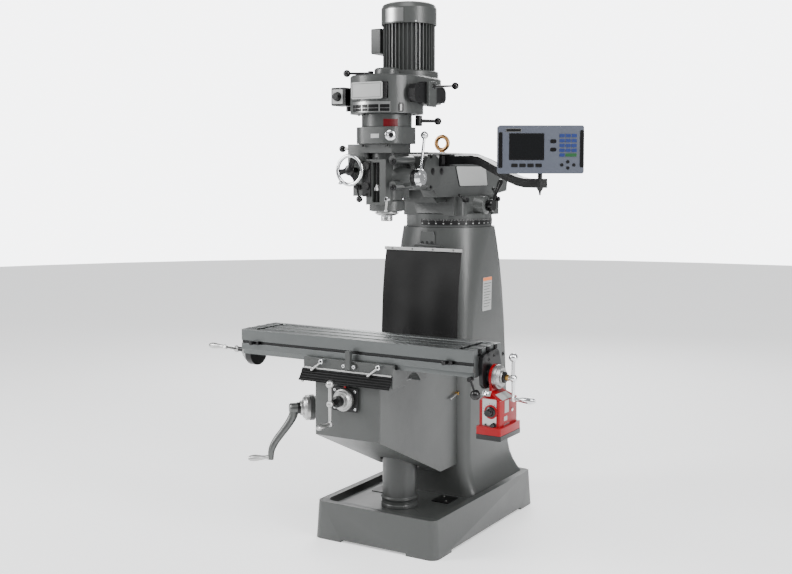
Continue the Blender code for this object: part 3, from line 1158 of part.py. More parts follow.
BELT_SIDE = 0.1485           # X just outside the belt housing's widest part
SPEED_Z = BELT_Z + 0.077
speed_outline = [(-0.610, 0.016), (-0.596, 0.036), (-0.540, 0.040), (-0.520, 0.048), (-0.440, 0.048), (-0.420, 0.036),
                 (-0.366, 0.032), (-0.354, 0.014), (-0.354, -0.014), (-0.366, -0.030), (-0.420, -0.032),
                 (-0.440, -0.040), (-0.520, -0.040), (-0.540, -0.034), (-0.596, -0.034), (-0.610, -0.016)]
node("speed_bracket", prism(speed_outline, BELT_SIDE, BELT_SIDE + 0.028, "X"), BLACK_OXIDE, HEAD, (0, 0, SPEED_Z))
SPEED_AT = (BELT_SIDE + 0.028 + 0.007 + GAP, -0.480, SPEED_Z + 0.030)
SPEED_TURN = empty("speed_lever_axis", SPEED_AT, HEAD)
lever_node("speed_lever", BLACK_OXIDE, SPEED_TURN, SPEED_AT, (1, 0, 0), (0, 1, 0.08),
           (0.190, 0.0060, 0.0150, 0.0120, 0.014), 0.62)

GEAR_AT = (0.118, SPINDLE_Y + 0.052, RING_Z + 0.026)
GEAR_TURN = empty("gear_lever_axis", GEAR_AT, HEAD)
lever_node("gear_lever", BLACK_OXIDE, GEAR_TURN, GEAR_AT, (0, 0, 1), (0.52, 0.854, 0),
           (0.088, 0.0075, 0.0150, 0.0140, 0.042), 0.75)

BRAKE_AT = (-0.070, SPINDLE_Y - 0.010, MOTOR_Z + 0.013)
BRAKE_TURN = empty("brake_lever_axis", BRAKE_AT, HEAD)
lever_node("brake_lever", BLACK_OXIDE, BRAKE_TURN, BRAKE_AT, (0, 0, 1), (-0.82, -0.57, 0),
           (0.096, 0.0060, 0.0150, 0.0110, 0.020), 0.60)

KNOB_TURN = math.radians(38)
knob_out = Vector((math.sin(KNOB_TURN), -math.cos(KNOB_TURN), 0))
BACK_GEAR_AT = Vector((0, SPINDLE_Y, GEAR_BOX_Z + 0.032)) + knob_out * (GEAR_BOX_HALF + 0.0185 + GAP)
BACK_GEAR = empty("back_gear_knob_axis", BACK_GEAR_AT, HEAD)
node("back_gear_knob", turned([(0, 0), (0.021, 0), (0.021, 0.005), (0.017, 0.008), (0.009, 0.009), (0.009, 0.026),
                               (0, 0.026)], 24), CHROME, BACK_GEAR, BACK_GEAR_AT, aimed(knob_out))

SELECT_AT = (-0.145 - GAP, SPINDLE_Y - 0.040, TILT_Z + 0.096)
SELECT = empty("select_knob_axis", SELECT_AT, HEAD)
select = [(0, 0), (0.013, 0), (0.013, 0.007), (0.0055, 0.008), (0.0055, 0.030)]
select += [(r, z) for r, z in ball(0.0145, 0.042, 6, -60, 90)]
node("select_knob", turned(select, 16), SATIN, SELECT, SELECT_AT, aimed((-1, 0, 0)))

# ---------------------------------------------------------------- quill, spindle and feed

QUILL = empty("quill_slide_axis", (0, SPINDLE_Y, TILT_Z), HEAD)
QUILL_LOW = HOUSING_BOTTOM - 0.020
QUILL_HIGH = 0.080
COLLAR_HIGH = HOUSING_BOTTOM - 0.004 - GAP
quill_profile = [(0.032, QUILL_LOW), (0.036, QUILL_LOW + 0.002), (0.050, QUILL_LOW + 0.010), (0.050, COLLAR_HIGH),
                 (QUILL_RADIUS, COLLAR_HIGH + GAP), (QUILL_RADIUS, QUILL_HIGH)]
spindle_room = SPINDLE_RADIUS + RUNNING
nose_room = NOSE_RADIUS + RUNNING
quill_profile += [(spindle_room, QUILL_HIGH), (spindle_room, QUILL_LOW + 0.030), (nose_room, QUILL_LOW + 0.026),
                  (nose_room, QUILL_LOW)]
node("quill", turned(quill_profile, 28, tube=True), SATIN, QUILL, (0, SPINDLE_Y, TILT_Z))
SPINDLE = empty("spindle_axis", (0, SPINDLE_Y, TILT_Z), QUILL)
NOSE_DROP = 0.023            # how far the spindle's nose reaches below the quill
SPINDLE_HIGH = BELT_Z + BELT_HEIGHT + 0.030 - TILT_Z
spindle_profile = [(0.0135, QUILL_LOW - NOSE_DROP), (NOSE_RADIUS - 0.002, QUILL_LOW - NOSE_DROP),
                   (NOSE_RADIUS, QUILL_LOW - NOSE_DROP + 0.002), (NOSE_RADIUS, QUILL_LOW + 0.0255 - GAP),
                   (SPINDLE_RADIUS, QUILL_LOW + 0.0295 - GAP), (SPINDLE_RADIUS, SPINDLE_HIGH), (0.0065, SPINDLE_HIGH),
                   (0.0065, QUILL_LOW + 0.080), (0.0105, QUILL_LOW + 0.078)]
node("spindle", turned(spindle_profile, 20, tube=True), SATIN, SPINDLE, (0, SPINDLE_Y, TILT_Z))

STOP_AT = (0.007, -0.6105, TILT_Z)
node("quill_stop_screw", turned([(0, -0.118 + GAP), (0.0045, -0.118 + GAP), (0.0045, 0.040 - GAP), (0, 0.040 - GAP)], 14),
     SATIN, HEAD, STOP_AT)
STOP_NUT_AT = (STOP_AT[0], STOP_AT[1], TILT_Z - 0.062)
STOP_NUT = empty("quill_stop_nut_axis", STOP_NUT_AT, HEAD)
NUT_HOLE = 0.0045 + RUNNING
node("quill_stop_nut", turned([(NUT_HOLE, -0.010), (0.0135, -0.010), (0.0135, 0.004), (0.0080, 0.006), (0.0080, 0.014),
                               (NUT_HOLE, 0.014)], 20, tube=True), CHROME, STOP_NUT, STOP_NUT_AT)

LOCK_SPOT = (0.0640, -0.622 - 0.009 - GAP, TILT_Z - 0.104)
QUILL_LOCK = empty("quill_lock_axis", LOCK_SPOT, HEAD)
lever_node("quill_lock", CHROME, QUILL_LOCK, LOCK_SPOT, (0, -1, 0), (-0.10, 0, -1),
           (0.046, 0.0042, 0.0070, 0.0095, 0.018))

HUB_AT = Vector((FEED_FACE + GAP, SPINDLE_Y, TILT_Z + HUB_Z))
FEED_HUB = empty("feed_hub_axis", HUB_AT, HEAD)


def feed_hub_solid():
    """Round hub with a black collar behind it and one long lever with a ball; hub along Y, lever along +Z."""
    hub = turned([(0, 0), (0.0335, 0), (0.0335, 0.014), (0.031, 0.016), (0.0345, 0.018), (0.0345, 0.034),
                  (0.029, 0.042), (0, 0.042)], 22)
    hub = moved(hub, turn=(-90, 0, 0))
    rod = [(0, 0.002), (0.0055, 0.002), (0.0045, 0.155)] + ball(0.0155, 0.172, 5, -60, 90)
    return joined(hub, moved(turned(rod, 12), (0, 0.026, 0)))


feed_up = Vector((0, 0.205, 0.979)).normalized()
node("feed_hub", feed_hub_solid(), CHROME, FEED_HUB, HUB_AT, crank_turn((1, 0, 0), feed_up))

WHEEL_RADIUS = 0.065
WHEEL_AT = Vector((-0.105, -0.6405, TILT_Z + 0.009))
HAND_WHEEL = empty("hand_wheel_axis", WHEEL_AT, HEAD)


def hand_wheel_solid():
    """Rim, three flat spokes, hub and a small folding handle; the shaft lies along +Z."""
    rim_points, rim_faces = [], []
    around, section = 24, 6
    for i in range(around):
        a = 2 * math.pi * i / around
        for k in range(section):
            b = 2 * math.pi * k / section
            r = WHEEL_RADIUS - 0.0075 + 0.0075 * math.cos(b)
            rim_points.append((r * math.cos(a), r * math.sin(a), 0.0075 * math.sin(b)))
            ni, nk = (i + 1) % around, (k + 1) % section
            rim_faces.append((i * section + k, ni * section + k, ni * section + nk, i * section + nk))
    pieces = [turned([(0, -0.042), (0.012, -0.042), (0.012, -0.010), (0.018, -0.006), (0.018, 0.008), (0, 0.008)], 16)]
    for i in range(3):
        spoke = block((-0.0085, 0.0085), (0.004, WHEEL_RADIUS - 0.006), (-0.0035, 0.0035))
        pieces.append(moved(spoke, turn=(0, 0, 120 * i - 20)))
    knob = turned([(0, 0.004), (0.0055, 0.004), (0.0055, 0.010), (0.0085, 0.016), (0.0085, 0.026), (0.005, 0.030),
                   (0, 0.030)], 10)
    pieces.append(moved(knob, (-0.022, -0.0533, 0)))
    return joined(mesh_from("rim", rim_points, rim_faces), *pieces)


node("hand_wheel", hand_wheel_solid(), BLACK_PLASTIC, HAND_WHEEL, WHEEL_AT, crank_turn((0, 0, 1), (0, -1, 0)))

TRIP_AT = (-0.086, SPINDLE_Y - 0.0823 - 0.008 - GAP, TILT_Z - 0.056)
TRIP = empty("trip_lever_axis", TRIP_AT, HEAD)
lever_node("trip_lever", BLACK_OXIDE, TRIP, TRIP_AT, (0, -1, 0), (0.24, 0, -0.97),
           (0.052, 0.0042, 0.0130, 0.0090, 0.016))

# ---------------------------------------------------------------- feed lever

FEED_LEVER = empty("feed_lever_axis", FEED_LEVER_AT, TABLE)
lever_node("feed_lever", BLACK_PLASTIC, FEED_LEVER, FEED_LEVER_AT, (0, -1, 0), (0.36, 0, -0.93),
           (0.058, 0.0050, 0.0190, 0.0090, 0.024))
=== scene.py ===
"""Looks of a knee-type vertical milling machine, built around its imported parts. Metres, +Z up."""

import json

import bmesh
import bpy
import numpy as np
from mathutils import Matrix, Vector

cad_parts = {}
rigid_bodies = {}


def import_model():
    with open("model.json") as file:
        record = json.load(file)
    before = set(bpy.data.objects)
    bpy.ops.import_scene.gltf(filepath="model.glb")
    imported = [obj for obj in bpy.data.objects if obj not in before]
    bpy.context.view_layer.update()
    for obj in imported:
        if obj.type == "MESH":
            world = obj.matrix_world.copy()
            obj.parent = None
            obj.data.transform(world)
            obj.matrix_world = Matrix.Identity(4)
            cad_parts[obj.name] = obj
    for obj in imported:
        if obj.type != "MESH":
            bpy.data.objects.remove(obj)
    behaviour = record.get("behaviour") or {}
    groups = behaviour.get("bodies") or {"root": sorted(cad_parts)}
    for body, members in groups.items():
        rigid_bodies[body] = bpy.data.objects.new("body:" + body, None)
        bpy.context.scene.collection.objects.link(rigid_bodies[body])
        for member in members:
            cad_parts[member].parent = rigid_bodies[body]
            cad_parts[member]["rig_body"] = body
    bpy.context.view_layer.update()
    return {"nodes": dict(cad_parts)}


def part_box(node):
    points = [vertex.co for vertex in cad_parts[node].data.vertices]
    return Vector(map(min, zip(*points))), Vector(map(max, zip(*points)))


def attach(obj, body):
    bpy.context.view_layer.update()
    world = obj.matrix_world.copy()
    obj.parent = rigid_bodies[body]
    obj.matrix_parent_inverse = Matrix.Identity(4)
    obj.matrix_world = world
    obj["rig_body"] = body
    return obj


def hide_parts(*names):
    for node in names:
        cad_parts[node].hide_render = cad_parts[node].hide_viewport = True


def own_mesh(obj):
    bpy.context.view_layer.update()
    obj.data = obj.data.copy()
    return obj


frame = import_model()

# ---------------------------------------------------------------- viewpoint, floor and light
# A camera a little above the table, on the operator's right. The floor is pale and plain, and
# three large soft lamps and a bright room light the machine evenly.

CAMERA_AT = (2.3597, -4.353, 1.5272)
CAMERA_TURN = 0.5464
CAMERA_DIP = 0.0566
camera_data = bpy.data.cameras.new("camera")
camera_data.sensor_width = 36.0
camera_data.lens = 50.6
camera_data.shift_x = 0.0026
camera_data.shift_y = -0.0694
camera_data.clip_end = 100
camera = bpy.data.objects.new("camera", camera_data)
camera.location = CAMERA_AT
camera.rotation_euler = (np.pi / 2 - CAMERA_DIP, 0, CAMERA_TURN)
bpy.context.scene.collection.objects.link(camera)
bpy.context.scene.camera = camera


def soft_lamp(name, at, target, size, power):
    """Square area lamp at a place, facing a target."""
    light = bpy.data.lights.new(name, "AREA")
    light.shape = "RECTANGLE"
    light.size, light.size_y = size
    light.energy = power
    lamp = bpy.data.objects.new(name, light)
    lamp.location = at
    lamp.rotation_euler = (Vector(target) - Vector(at)).to_track_quat("-Z", "Y").to_euler()
    bpy.context.scene.collection.objects.link(lamp)


soft_lamp("lamp_left", (-3.4, -3.4, 3.0), (0, -0.3, 1.1), (1.6, 2.8), 260)
soft_lamp("lamp_right", (4.0, -1.4, 2.6), (0, -0.2, 1.0), (1.2, 3.0), 200)
soft_lamp("lamp_back", (-1.6, 3.6, 3.2), (0, 0, 1.2), (2.4, 2.4), 160)
even_light = bpy.data.lights.new("even_light", "SUN")
even_light.energy = 2.2
even_light.angle = np.radians(40)
even = bpy.data.objects.new("even_light", even_light)
even.rotation_euler = (np.radians(34), np.radians(14), 0)
bpy.context.scene.collection.objects.link(even)

room = bpy.data.worlds.new("room")
room.use_nodes = True
dome = room.node_tree.nodes["Background"]
dome.inputs["Color"].default_value = (0.97, 0.98, 1.0, 1)
seen = room.node_tree.nodes.new("ShaderNodeLightPath")
brightness = room.node_tree.nodes.new("ShaderNodeMapRange")
brightness.inputs["To Min"].default_value = 0.42
brightness.inputs["To Max"].default_value = 6.0
room.node_tree.links.new(seen.outputs["Is Camera Ray"], brightness.inputs["Value"])
room.node_tree.links.new(brightness.outputs["Result"], dome.inputs["Strength"])
bpy.context.scene.world = room


class Value:
    """A shader socket. An expression on values adds the Math nodes that work it out."""

    def __init__(self, finish, socket):
        self.finish, self.socket = finish, socket

    def math(self, operation, *values):
        return self.finish.node("ShaderNodeMath", {"operation": operation}, dict(enumerate(values)))

    def __add__(self, other):
        return self.math("ADD", self, other)

    def __radd__(self, other):
        return self.math("ADD", other, self)

    def __sub__(self, other):
        return self.math("SUBTRACT", self, other)

    def __rsub__(self, other):
        return self.math("SUBTRACT", other, self)

    def __mul__(self, other):
        return self.math("MULTIPLY", self, other)

    def __rmul__(self, other):
        return self.math("MULTIPLY", other, self)

    def __gt__(self, other):
        return self.math("GREATER_THAN", self, other)

    def __lt__(self, other):
        return self.math("LESS_THAN", self, other)

    def absolute(self):
        return self.math("ABSOLUTE", self)

    def fraction(self):
        return self.math("FRACT", self)


# Finishes that fill another one's slot. Any other finish fills the slot of its own name.
SHARED_SLOTS = {
    "sign_white": "grey_paint", "sign_dark": "black_plastic", "screen_glass": "black_plastic",
    "label_silver": "satin_metal", "cast_aluminium": "satin_metal", "right_dial_lines": "satin_metal",
    "left_dial_lines": "satin_metal", "cross_dial_lines": "satin_metal", "brass": "yellow_zinc",
    "knurled": "chrome", "orange_ink": "red_paint", "label_red": "red_paint", "way_rubber": "rubber",
    "key_blue": "console_paint", "key_green": "console_paint",
}


class Finish:
    """A material: one Principled shader, and the nodes that vary its colour, gloss and relief."""

    def __init__(self, name, color, roughness, metallic=0.0, **sockets):
        self.slot = SHARED_SLOTS.get(name, name)
        self.material = bpy.data.materials.new(name)
        self.material.use_nodes = True
        self.tree = self.material.node_tree
        self.shader = self.tree.nodes["Principled BSDF"]
        self.color = (*color, 1.0)
        self.plain = {"Base Color": self.color, "Roughness": roughness, "Metallic": metallic}
        self.plain.update({key.replace("_", " "): value for key, value in sockets.items()})
        for key, value in self.plain.items():
            self.shader.inputs[key].default_value = value

    def node(self, kind, settings, inputs, output=0):
        """Adds a node: its settings first, then a value or a link for each named or numbered socket."""
        added = self.tree.nodes.new(kind)
        for key, value in settings.items():
            setattr(added, key, value)
        for key, value in inputs.items():
            if isinstance(value, Value):
                self.tree.links.new(value.socket, added.inputs[key])
            else:
                added.inputs[key].default_value = value
        return Value(self, added.outputs[output])

    def place(self):
        """Where a point of the piece is, in metres."""
        return self.node("ShaderNodeTexCoord", {}, {}, "Object")

    def axis(self, name):
        """One coordinate of the place."""
        return self.node("ShaderNodeSeparateXYZ", {}, {0: self.place()}, name)

    def stretched(self, scale):
        """The place, scaled by a different amount along each axis, so that a pattern is drawn out."""
        return self.node("ShaderNodeVectorMath", {"operation": "MULTIPLY"}, {0: self.place(), 1: scale})

    def noise(self, scale, detail=3.0, rough=0.55, where=None):
        """Soft random pattern from 0 to 1."""
        where = self.place() if where is None else where
        return self.node("ShaderNodeTexNoise", {}, {"Vector": where, "Scale": scale, "Detail": detail,
                                                    "Roughness": rough})

    def mix(self, mask, first, second):
        """Colour that goes from first to second as the mask goes from 0 to 1."""
        first = (*first, 1.0) if isinstance(first, tuple) and len(first) == 3 else first
        second = (*second, 1.0) if isinstance(second, tuple) and len(second) == 3 else second
        return self.node("ShaderNodeMix", {"data_type": "RGBA"}, {0: mask, 6: first, 7: second}, 2)

    def feed(self, name, value):
        """Links a value to the Principled shader's socket."""
        self.tree.links.new(value.socket, self.shader.inputs[name])
        return self

    def relief(self, height, depth, strength=1.0):
        """Raises the surface by the height pattern times the depth, in metres."""
        return self.feed("Normal", self.node("ShaderNodeBump", {}, {"Height": height, "Distance": depth,
                                                                    "Strength": strength}))


FLOOR_REACH = 14.0
floor_mesh = bpy.data.meshes.new("floor")
turns = np.linspace(0, 2 * np.pi, 64, endpoint=False)
floor_points = np.stack([FLOOR_REACH * np.cos(turns), FLOOR_REACH * np.sin(turns), 0 * turns], 1)
floor_mesh.from_pydata(floor_points.tolist(), [], [list(range(64))])
floor = bpy.data.objects.new("floor", floor_mesh)
bpy.context.scene.collection.objects.link(floor)
floor_finish = Finish("floor_paint", (0.88, 0.885, 0.89), 0.55, Emission_Strength=0.55)
cloud = floor_finish.noise(0.6)
floor_finish.feed("Emission Color", floor_finish.mix(cloud, (0.97, 0.97, 0.97), (1.0, 1.0, 1.0)))
floor_finish.feed("Roughness", 0.5 + 0.12 * floor_finish.noise(1.4))
floor_mesh.materials.append(floor_finish.material)

# ---------------------------------------------------------------- grey castings
# Column, knee, saddle, turret, ram and head are iron castings, filled, rubbed down and sprayed with a
# semi-gloss grey. The skin keeps a faint orange peel and duller patches at random.

GREY = (0.041, 0.0435, 0.042)


def paint_finish(name, color, gloss=0.34, peel=0.00022, coat=0.25, shine=0.5):
    """Sprayed paint: slight colour drift, a fine orange peel and duller patches."""
    paint = Finish(name, color, gloss, Coat_Weight=coat, Coat_Roughness=0.22, Specular_IOR_Level=shine)
    drift = paint.noise(3.2, 4)
    speck = paint.noise(42, 2)
    dull = tuple(c * 0.86 for c in color)
    bright = tuple(min(1, c * 1.12) for c in color)
    paint.feed("Base Color", paint.mix(0.7 * drift + 0.3 * speck, dull, bright))
    paint.feed("Roughness", gloss - 0.06 + 0.16 * paint.noise(9, 3))
    paint.relief(paint.noise(230, 2) + 0.9 * paint.noise(38, 2), peel)
    return paint


def smoothed(mesh, angle=32):
    """Shades a mesh smooth, but keeps edges sharper than the angle crisp."""
    mesh.polygons.foreach_set("use_smooth", np.ones(len(mesh.polygons), bool))
    mesh.set_sharp_from_angle(angle=np.radians(angle))


def show(name, mesh, body, finish):
    """Puts a finished mesh into the scene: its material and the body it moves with."""
    piece = bpy.data.objects.new(name, mesh)
    bpy.context.scene.collection.objects.link(piece)
    mesh.materials.clear()
    mesh.materials.append(finish.material)
    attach(piece, body)
    return piece


def dressed(node, finish, edge=0.0018, steps=2, angle=32):
    """A node's own shape with its edges rounded over by a small radius, as a casting or a turned part has."""
    source = frame["nodes"][node]
    shape = bmesh.new()
    shape.from_mesh(source.data)
    bmesh.ops.remove_doubles(shape, verts=shape.verts, dist=0.00002)
    bmesh.ops.dissolve_limit(shape, angle_limit=np.radians(0.8), verts=shape.verts, edges=shape.edges)
    mesh = bpy.data.meshes.new(node + "_skin")
    shape.to_mesh(mesh)
    shape.free()
    smoothed(mesh, angle)
    piece = show(node + "_skin", mesh, source["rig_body"], finish)
    if edge:
        rounding = piece.modifiers.new("rounding", "BEVEL")
        rounding.width = edge
        rounding.segments = steps
        rounding.limit_method = "ANGLE"
        rounding.angle_limit = np.radians(angle)
        rounding.harden_normals = True
    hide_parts(node)
    return piece


grey_paint = paint_finish("grey_paint", GREY, 0.36, 0.0002, 0.14, 0.42)
CASTINGS = {"column_base": 0.006, "screw_pedestal": 0.002, "knee": 0.004, "saddle": 0.003,
      "stop_bracket": 0.002,
            "turret": 0.003, "ram": 0.006, "ram_adapter": 0.002, "head_casting": 0.002, "gear_box": 0.002,
            "clutch_ring": 0.002, "belt_housing": 0.003, "fan_cover": 0.002,
            "terminal_box": 0.003}
for casting, radius in CASTINGS.items():
    dressed(casting, grey_paint, radius)

# ---------------------------------------------------------------- bare steel, chrome and black parts
# Shafts, dials, the quill and the cranks are turned and polished, so fine rings run around them. The
# small levers are blacked, and the knobs are moulded in glossy black plastic.

METAL_WHITE = (0.46, 0.46, 0.455)


def turned_finish(name, color, gloss, line_depth=0.00002):
    """Turned or polished metal: fine random lines and faint smears that change its gloss."""
    metal = Finish(name, color, gloss, 1.0)
    smear = metal.noise(14, 3)
    lines = metal.noise(60, 2, where=metal.stretched((1, 1, 14)))
    metal.feed("Roughness", gloss - 0.05 + 0.14 * smear + 0.05 * lines)
    metal.feed("Base Color", metal.mix(metal.noise(30, 3), tuple(c * 0.84 for c in color), color))
    metal.relief(lines, line_depth)
    return metal


satin_metal = turned_finish("satin_metal", METAL_WHITE, 0.3)
chrome = turned_finish("chrome", (0.78, 0.79, 0.8), 0.1, 0.000005)
black_oxide = paint_finish("black_oxide", (0.0022, 0.0022, 0.0024), 0.34, 0.0001, 0.0, 0.34)
black_plastic = paint_finish("black_plastic", (0.0018, 0.0018, 0.002), 0.2, 0.00002, 0.0, 0.4)
yellow_zinc = turned_finish("yellow_zinc", (0.36, 0.2, 0.085), 0.3)
red_paint = paint_finish("red_paint", (0.215, 0.0004, 0.0036), 0.32, 0.0001, 0.0, 0.26)

rubber = paint_finish("rubber", (0.0018, 0.0018, 0.0019), 0.5, 0.0001, 0.0, 0.16)
brass = turned_finish("brass", (0.55, 0.33, 0.1), 0.24)

SATIN_NODES = ["elevating_screw", "spindle_pulley", "motor_pulley", "table_screw", "way_cover_bar"]
BLACK_NODES = ["left_bracket", "right_bracket", "display_arm", "display_bracket", "speed_bracket",
               "quill_stop_screw"]
for group, finish in ((SATIN_NODES, satin_metal), (BLACK_NODES, black_oxide),
                      (["switch_box"], black_plastic)):
    for name in group:
        dressed(name, finish, 0.0008, 2, 40)
dressed("feed_housing", red_paint, 0.003)


def grid_shell(grid, around=True, ends=True):
    """Faces over rows of points: `around` joins each row's last point to its first, `ends` adds end faces."""
    rows, columns = grid.shape[:2]
    i, k = np.meshgrid(np.arange(rows - 1), np.arange(columns if around else columns - 1), indexing="ij")
    nk = (k + 1) % columns
    faces = np.stack([i * columns + k, i * columns + nk, (i + 1) * columns + nk, (i + 1) * columns + k], -1)
    faces = faces.reshape(-1, 4).tolist()
    if ends:
        faces.append(list(range(columns))[::-1])
        faces.append(list(range((rows - 1) * columns, rows * columns)))
    return grid.reshape(-1, 3), faces


def lathe(profile, sides=48):
    """Surface of revolution: (r cos t, r sin t, h) for each (r, h) of the profile, from foot to head."""
    r, h = np.array([p for p in profile if p[0] > 0], float).T
    t = np.linspace(0, 2 * np.pi, sides, endpoint=False)
    grid = np.stack([r[:, None] * np.cos(t), r[:, None] * np.sin(t), h[:, None] + 0 * t], -1)
    return grid_shell(grid)


def ball_outline(radius, height, low=-60.0, high=88.0, steps=14):
    """Arc of a ball: (R cos a, height + R sin a)."""
    a = np.radians(np.linspace(low, high, steps))
    return list(zip(radius * np.cos(a), height + radius * np.sin(a)))


def set_at(shell, at, along=(0, 0, 1), up=(0, 1, 0)):
    """Turns a shell so that its +Z lies along one direction and its +Y near another, then moves it."""
    z = np.array(along, float) / np.linalg.norm(along)
    x = np.cross(np.array(up, float), z)
    x /= np.linalg.norm(x)
    return shell[0] @ np.stack([x, np.cross(z, x), z]) + np.array(at, float), shell[1]


def build(name, body, finish, *shells, slot=None, edge=0.0, angle=35, stands_for=()):
    """One piece from its shells, smooth-shaded, with its edges rounded where a radius is given."""
    points, faces, start = [], [], 0
    for shell_points, shell_faces in shells:
        points.append(shell_points)
        faces += [[v + start for v in face] for face in shell_faces]
        start += len(shell_points)
    mesh = bpy.data.meshes.new(name)
    mesh.from_pydata(np.concatenate(points).tolist(), [], faces)
    smoothed(mesh, angle)
    piece = show(name, mesh, body, finish)
    if edge:
        rounding = piece.modifiers.new("rounding", "BEVEL")
        rounding.width, rounding.segments = edge, 2
        rounding.limit_method, rounding.angle_limit = "ANGLE", np.radians(angle)
    if stands_for:
        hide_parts(*stands_for)
    return piece


FRONT, UP = (0, -1, 0), (0, 0, 1)

# ---------------------------------------------------------------- levers and their balls
# Each lever is a turned rod screwed into a small hub, with a black ball moulded on its end.


def lever_shells(hub_at, hub_along, rod_along, length, rod, knob, hub, hub_length, taper=0.8):
    """Hub, tapering rod and ball of a lever: a bored hub with its rod leaving at right angles."""
    hub_shell = lathe([(hub * 0.86, -hub_length / 2), (hub, -hub_length / 2 + 0.0012),
                       (hub, hub_length / 2 - 0.0012), (hub * 0.86, hub_length / 2)], 32)
    rod_shell = lathe([(rod, 0), (rod * taper, length - knob * 0.9), (knob * 0.5, length - knob * 0.86)], 24)
    knob_shell = lathe(ball_outline(knob, length), 36)
    return (set_at(hub_shell, hub_at, hub_along, rod_along), set_at(rod_shell, hub_at, rod_along, hub_along),
            set_at(knob_shell, hub_at, rod_along, hub_along))


LEVERS = {
    "speed_lever": ((0.1838, -0.48, 1.853), (1, 0, 0), (0, 1, 0.08),
        (0.19, 0.006, 0.015, 0.012, 0.014, 0.62)),
    "gear_lever": ((0.118, -0.476, 1.7197), (0, 0, 1), (0.52, 0.854, 0),
        (0.088, 0.0075, 0.015, 0.014, 0.042)),
    "brake_lever": ((-0.07, -0.538, 1.9113), (0, 0, 1), (-0.82, -0.57, 0),
        (0.096, 0.006, 0.015, 0.011, 0.02)),
    "trip_lever": ((-0.086, -0.6186, 1.4571), FRONT, (0.24, 0, -0.97), (0.052, 0.0042, 0.013, 0.009, 0.016)),
    "feed_lever": ((0.529, -0.813, 0.77), FRONT, (0.36, 0, -0.93), (0.058, 0.005, 0.019, 0.009, 0.024)),
}
for name, (at, hub_along, rod_along, sizes) in LEVERS.items():
    body = frame["nodes"][name]["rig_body"]
    hub, rod, knob = lever_shells(at, hub_along, rod_along, *sizes)
    build(name + "_rod", body, black_oxide, hub, rod, stands_for=[name])
    build(name + "_ball", body, black_plastic, knob)

for name in ("ram_lock_front", "ram_lock_rear"):
    dressed(name, black_oxide, 0.0, 1, 45)
dressed("ram_pinion_lever", black_plastic, 0.0, 1, 45)

# Clamps of the saddle, the quill and the knee are bright turned handles.
LOCKS = {
    "saddle_lock_left": ((-0.108, -0.8323, 0.781), FRONT, (-0.8, 0, -0.6),
        (0.062, 0.0042, 0.0062, 0.0098, 0.024)),
    "saddle_lock_right": ((0.153, -0.8323, 0.781), FRONT, (-0.8, 0, -0.6),
        (0.062, 0.0042, 0.0062, 0.0098, 0.024)),
    "quill_lock": ((0.064, -0.6313, 1.4091), FRONT, (-0.1, 0, -1), (0.046, 0.0042, 0.007, 0.0095, 0.018)),
    "knee_lock": ((0.1578, -0.2145, 0.576), (1, 0, 0), (0, -1, -0.22),
        (0.058, 0.0035, 0.0042, 0.0065, 0.016)),
}
for name, (at, hub_along, rod_along, sizes) in LOCKS.items():
    body = frame["nodes"][name]["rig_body"]
    hub, rod, knob = lever_shells(at, hub_along, rod_along, *sizes, 1.1)
    build(name + "_handle", body, satin_metal, rod, knob, stands_for=[name])
    build(name + "_hub", body, brass if name == "knee_lock" else chrome, hub, slot="chrome")
    screw_at = np.array(at) + np.array(hub_along) * sizes[4] * 0.5
    build(name + "_screw", body, black_oxide,
          set_at(lathe([(0.0046, -0.001), (0.0046, 0.0016), (0.0036, 0.0026)], 24), screw_at, hub_along,
          rod_along))

select_at, select_out = (-0.1453, -0.568, 1.6091), (-1, 0, 0)
build("select_rod", "select_knob", satin_metal,
      set_at(lathe([(0.013, 0), (0.013, 0.006), (0.011, 0.008), (0.0055, 0.009), (0.0055, 0.034)], 32),
             select_at, select_out), stands_for=["select_knob"])
build("select_ball", "select_knob", black_plastic,
      set_at(lathe(ball_outline(0.0145, 0.042), 36), select_at, select_out))

# ---------------------------------------------------------------- cranks and dials
# Ball cranks of the three feed screws and the curved crank of the knee. The dials are satin aluminium
# with engraved lines, held by a black knurled nut, and the ball cranks are polished.


def dial_finish(name, middle, across, band, count=60):
    """Satin metal with black lines around the rim: a line wherever the angle's fraction is small."""
    dial = turned_finish(name, (0.4, 0.4, 0.395), 0.33)
    a = dial.axis("XYZ"[across[0]]) - middle[across[0]]
    b = dial.axis("XYZ"[across[1]]) - middle[across[1]]
    turn = a.math("ARCTAN2", a, b) * (count / (2 * np.pi)) + count
    line = ((turn.fraction() - 0.5).absolute() < 0.12) * ((a * a + b * b) > band ** 2)
    dial.feed("Base Color", dial.mix(line, (0.4, 0.4, 0.395), (0.01, 0.01, 0.01)))
    return dial


def dial_shell(radius, thick, hub, hub_length):
    """Rim, sloping face and round hub of a dial."""
    return lathe([(radius * 0.97, 0), (radius, 0.0012), (radius, thick * 0.56),
          (radius * 0.985, thick * 0.6),
                  (radius * 0.88, thick * 0.64), (radius * 0.86, thick * 0.7), (radius * 0.8, thick * 0.97),
                  (radius * 0.78, thick), (hub, thick), (hub, thick + hub_length - 0.001),
                  (hub - 0.001, thick + hub_length)], 72)


def grip_outline(length, radius, neck):
    """Grip: a neck, a bead, then a body of radius R (0.6 + 0.4 sin(pi (s - 0.18) / 1.15)^1.6), s > 0.18."""
    s = np.linspace(0.16, 0.97, 22)[1:]
    bulge = 0.6 + 0.4 * np.sin(np.pi * (s - 0.18) / 1.15) ** 1.6
    swell = radius * bulge * np.sqrt(np.clip(1 - s ** 9, 0.02, 1))
    return [(neck, 0), (neck, 0.07 * length), (neck * 1.5, 0.09 * length),
          (neck * 1.5, 0.13 * length)] + list(
        zip(swell, s * length))


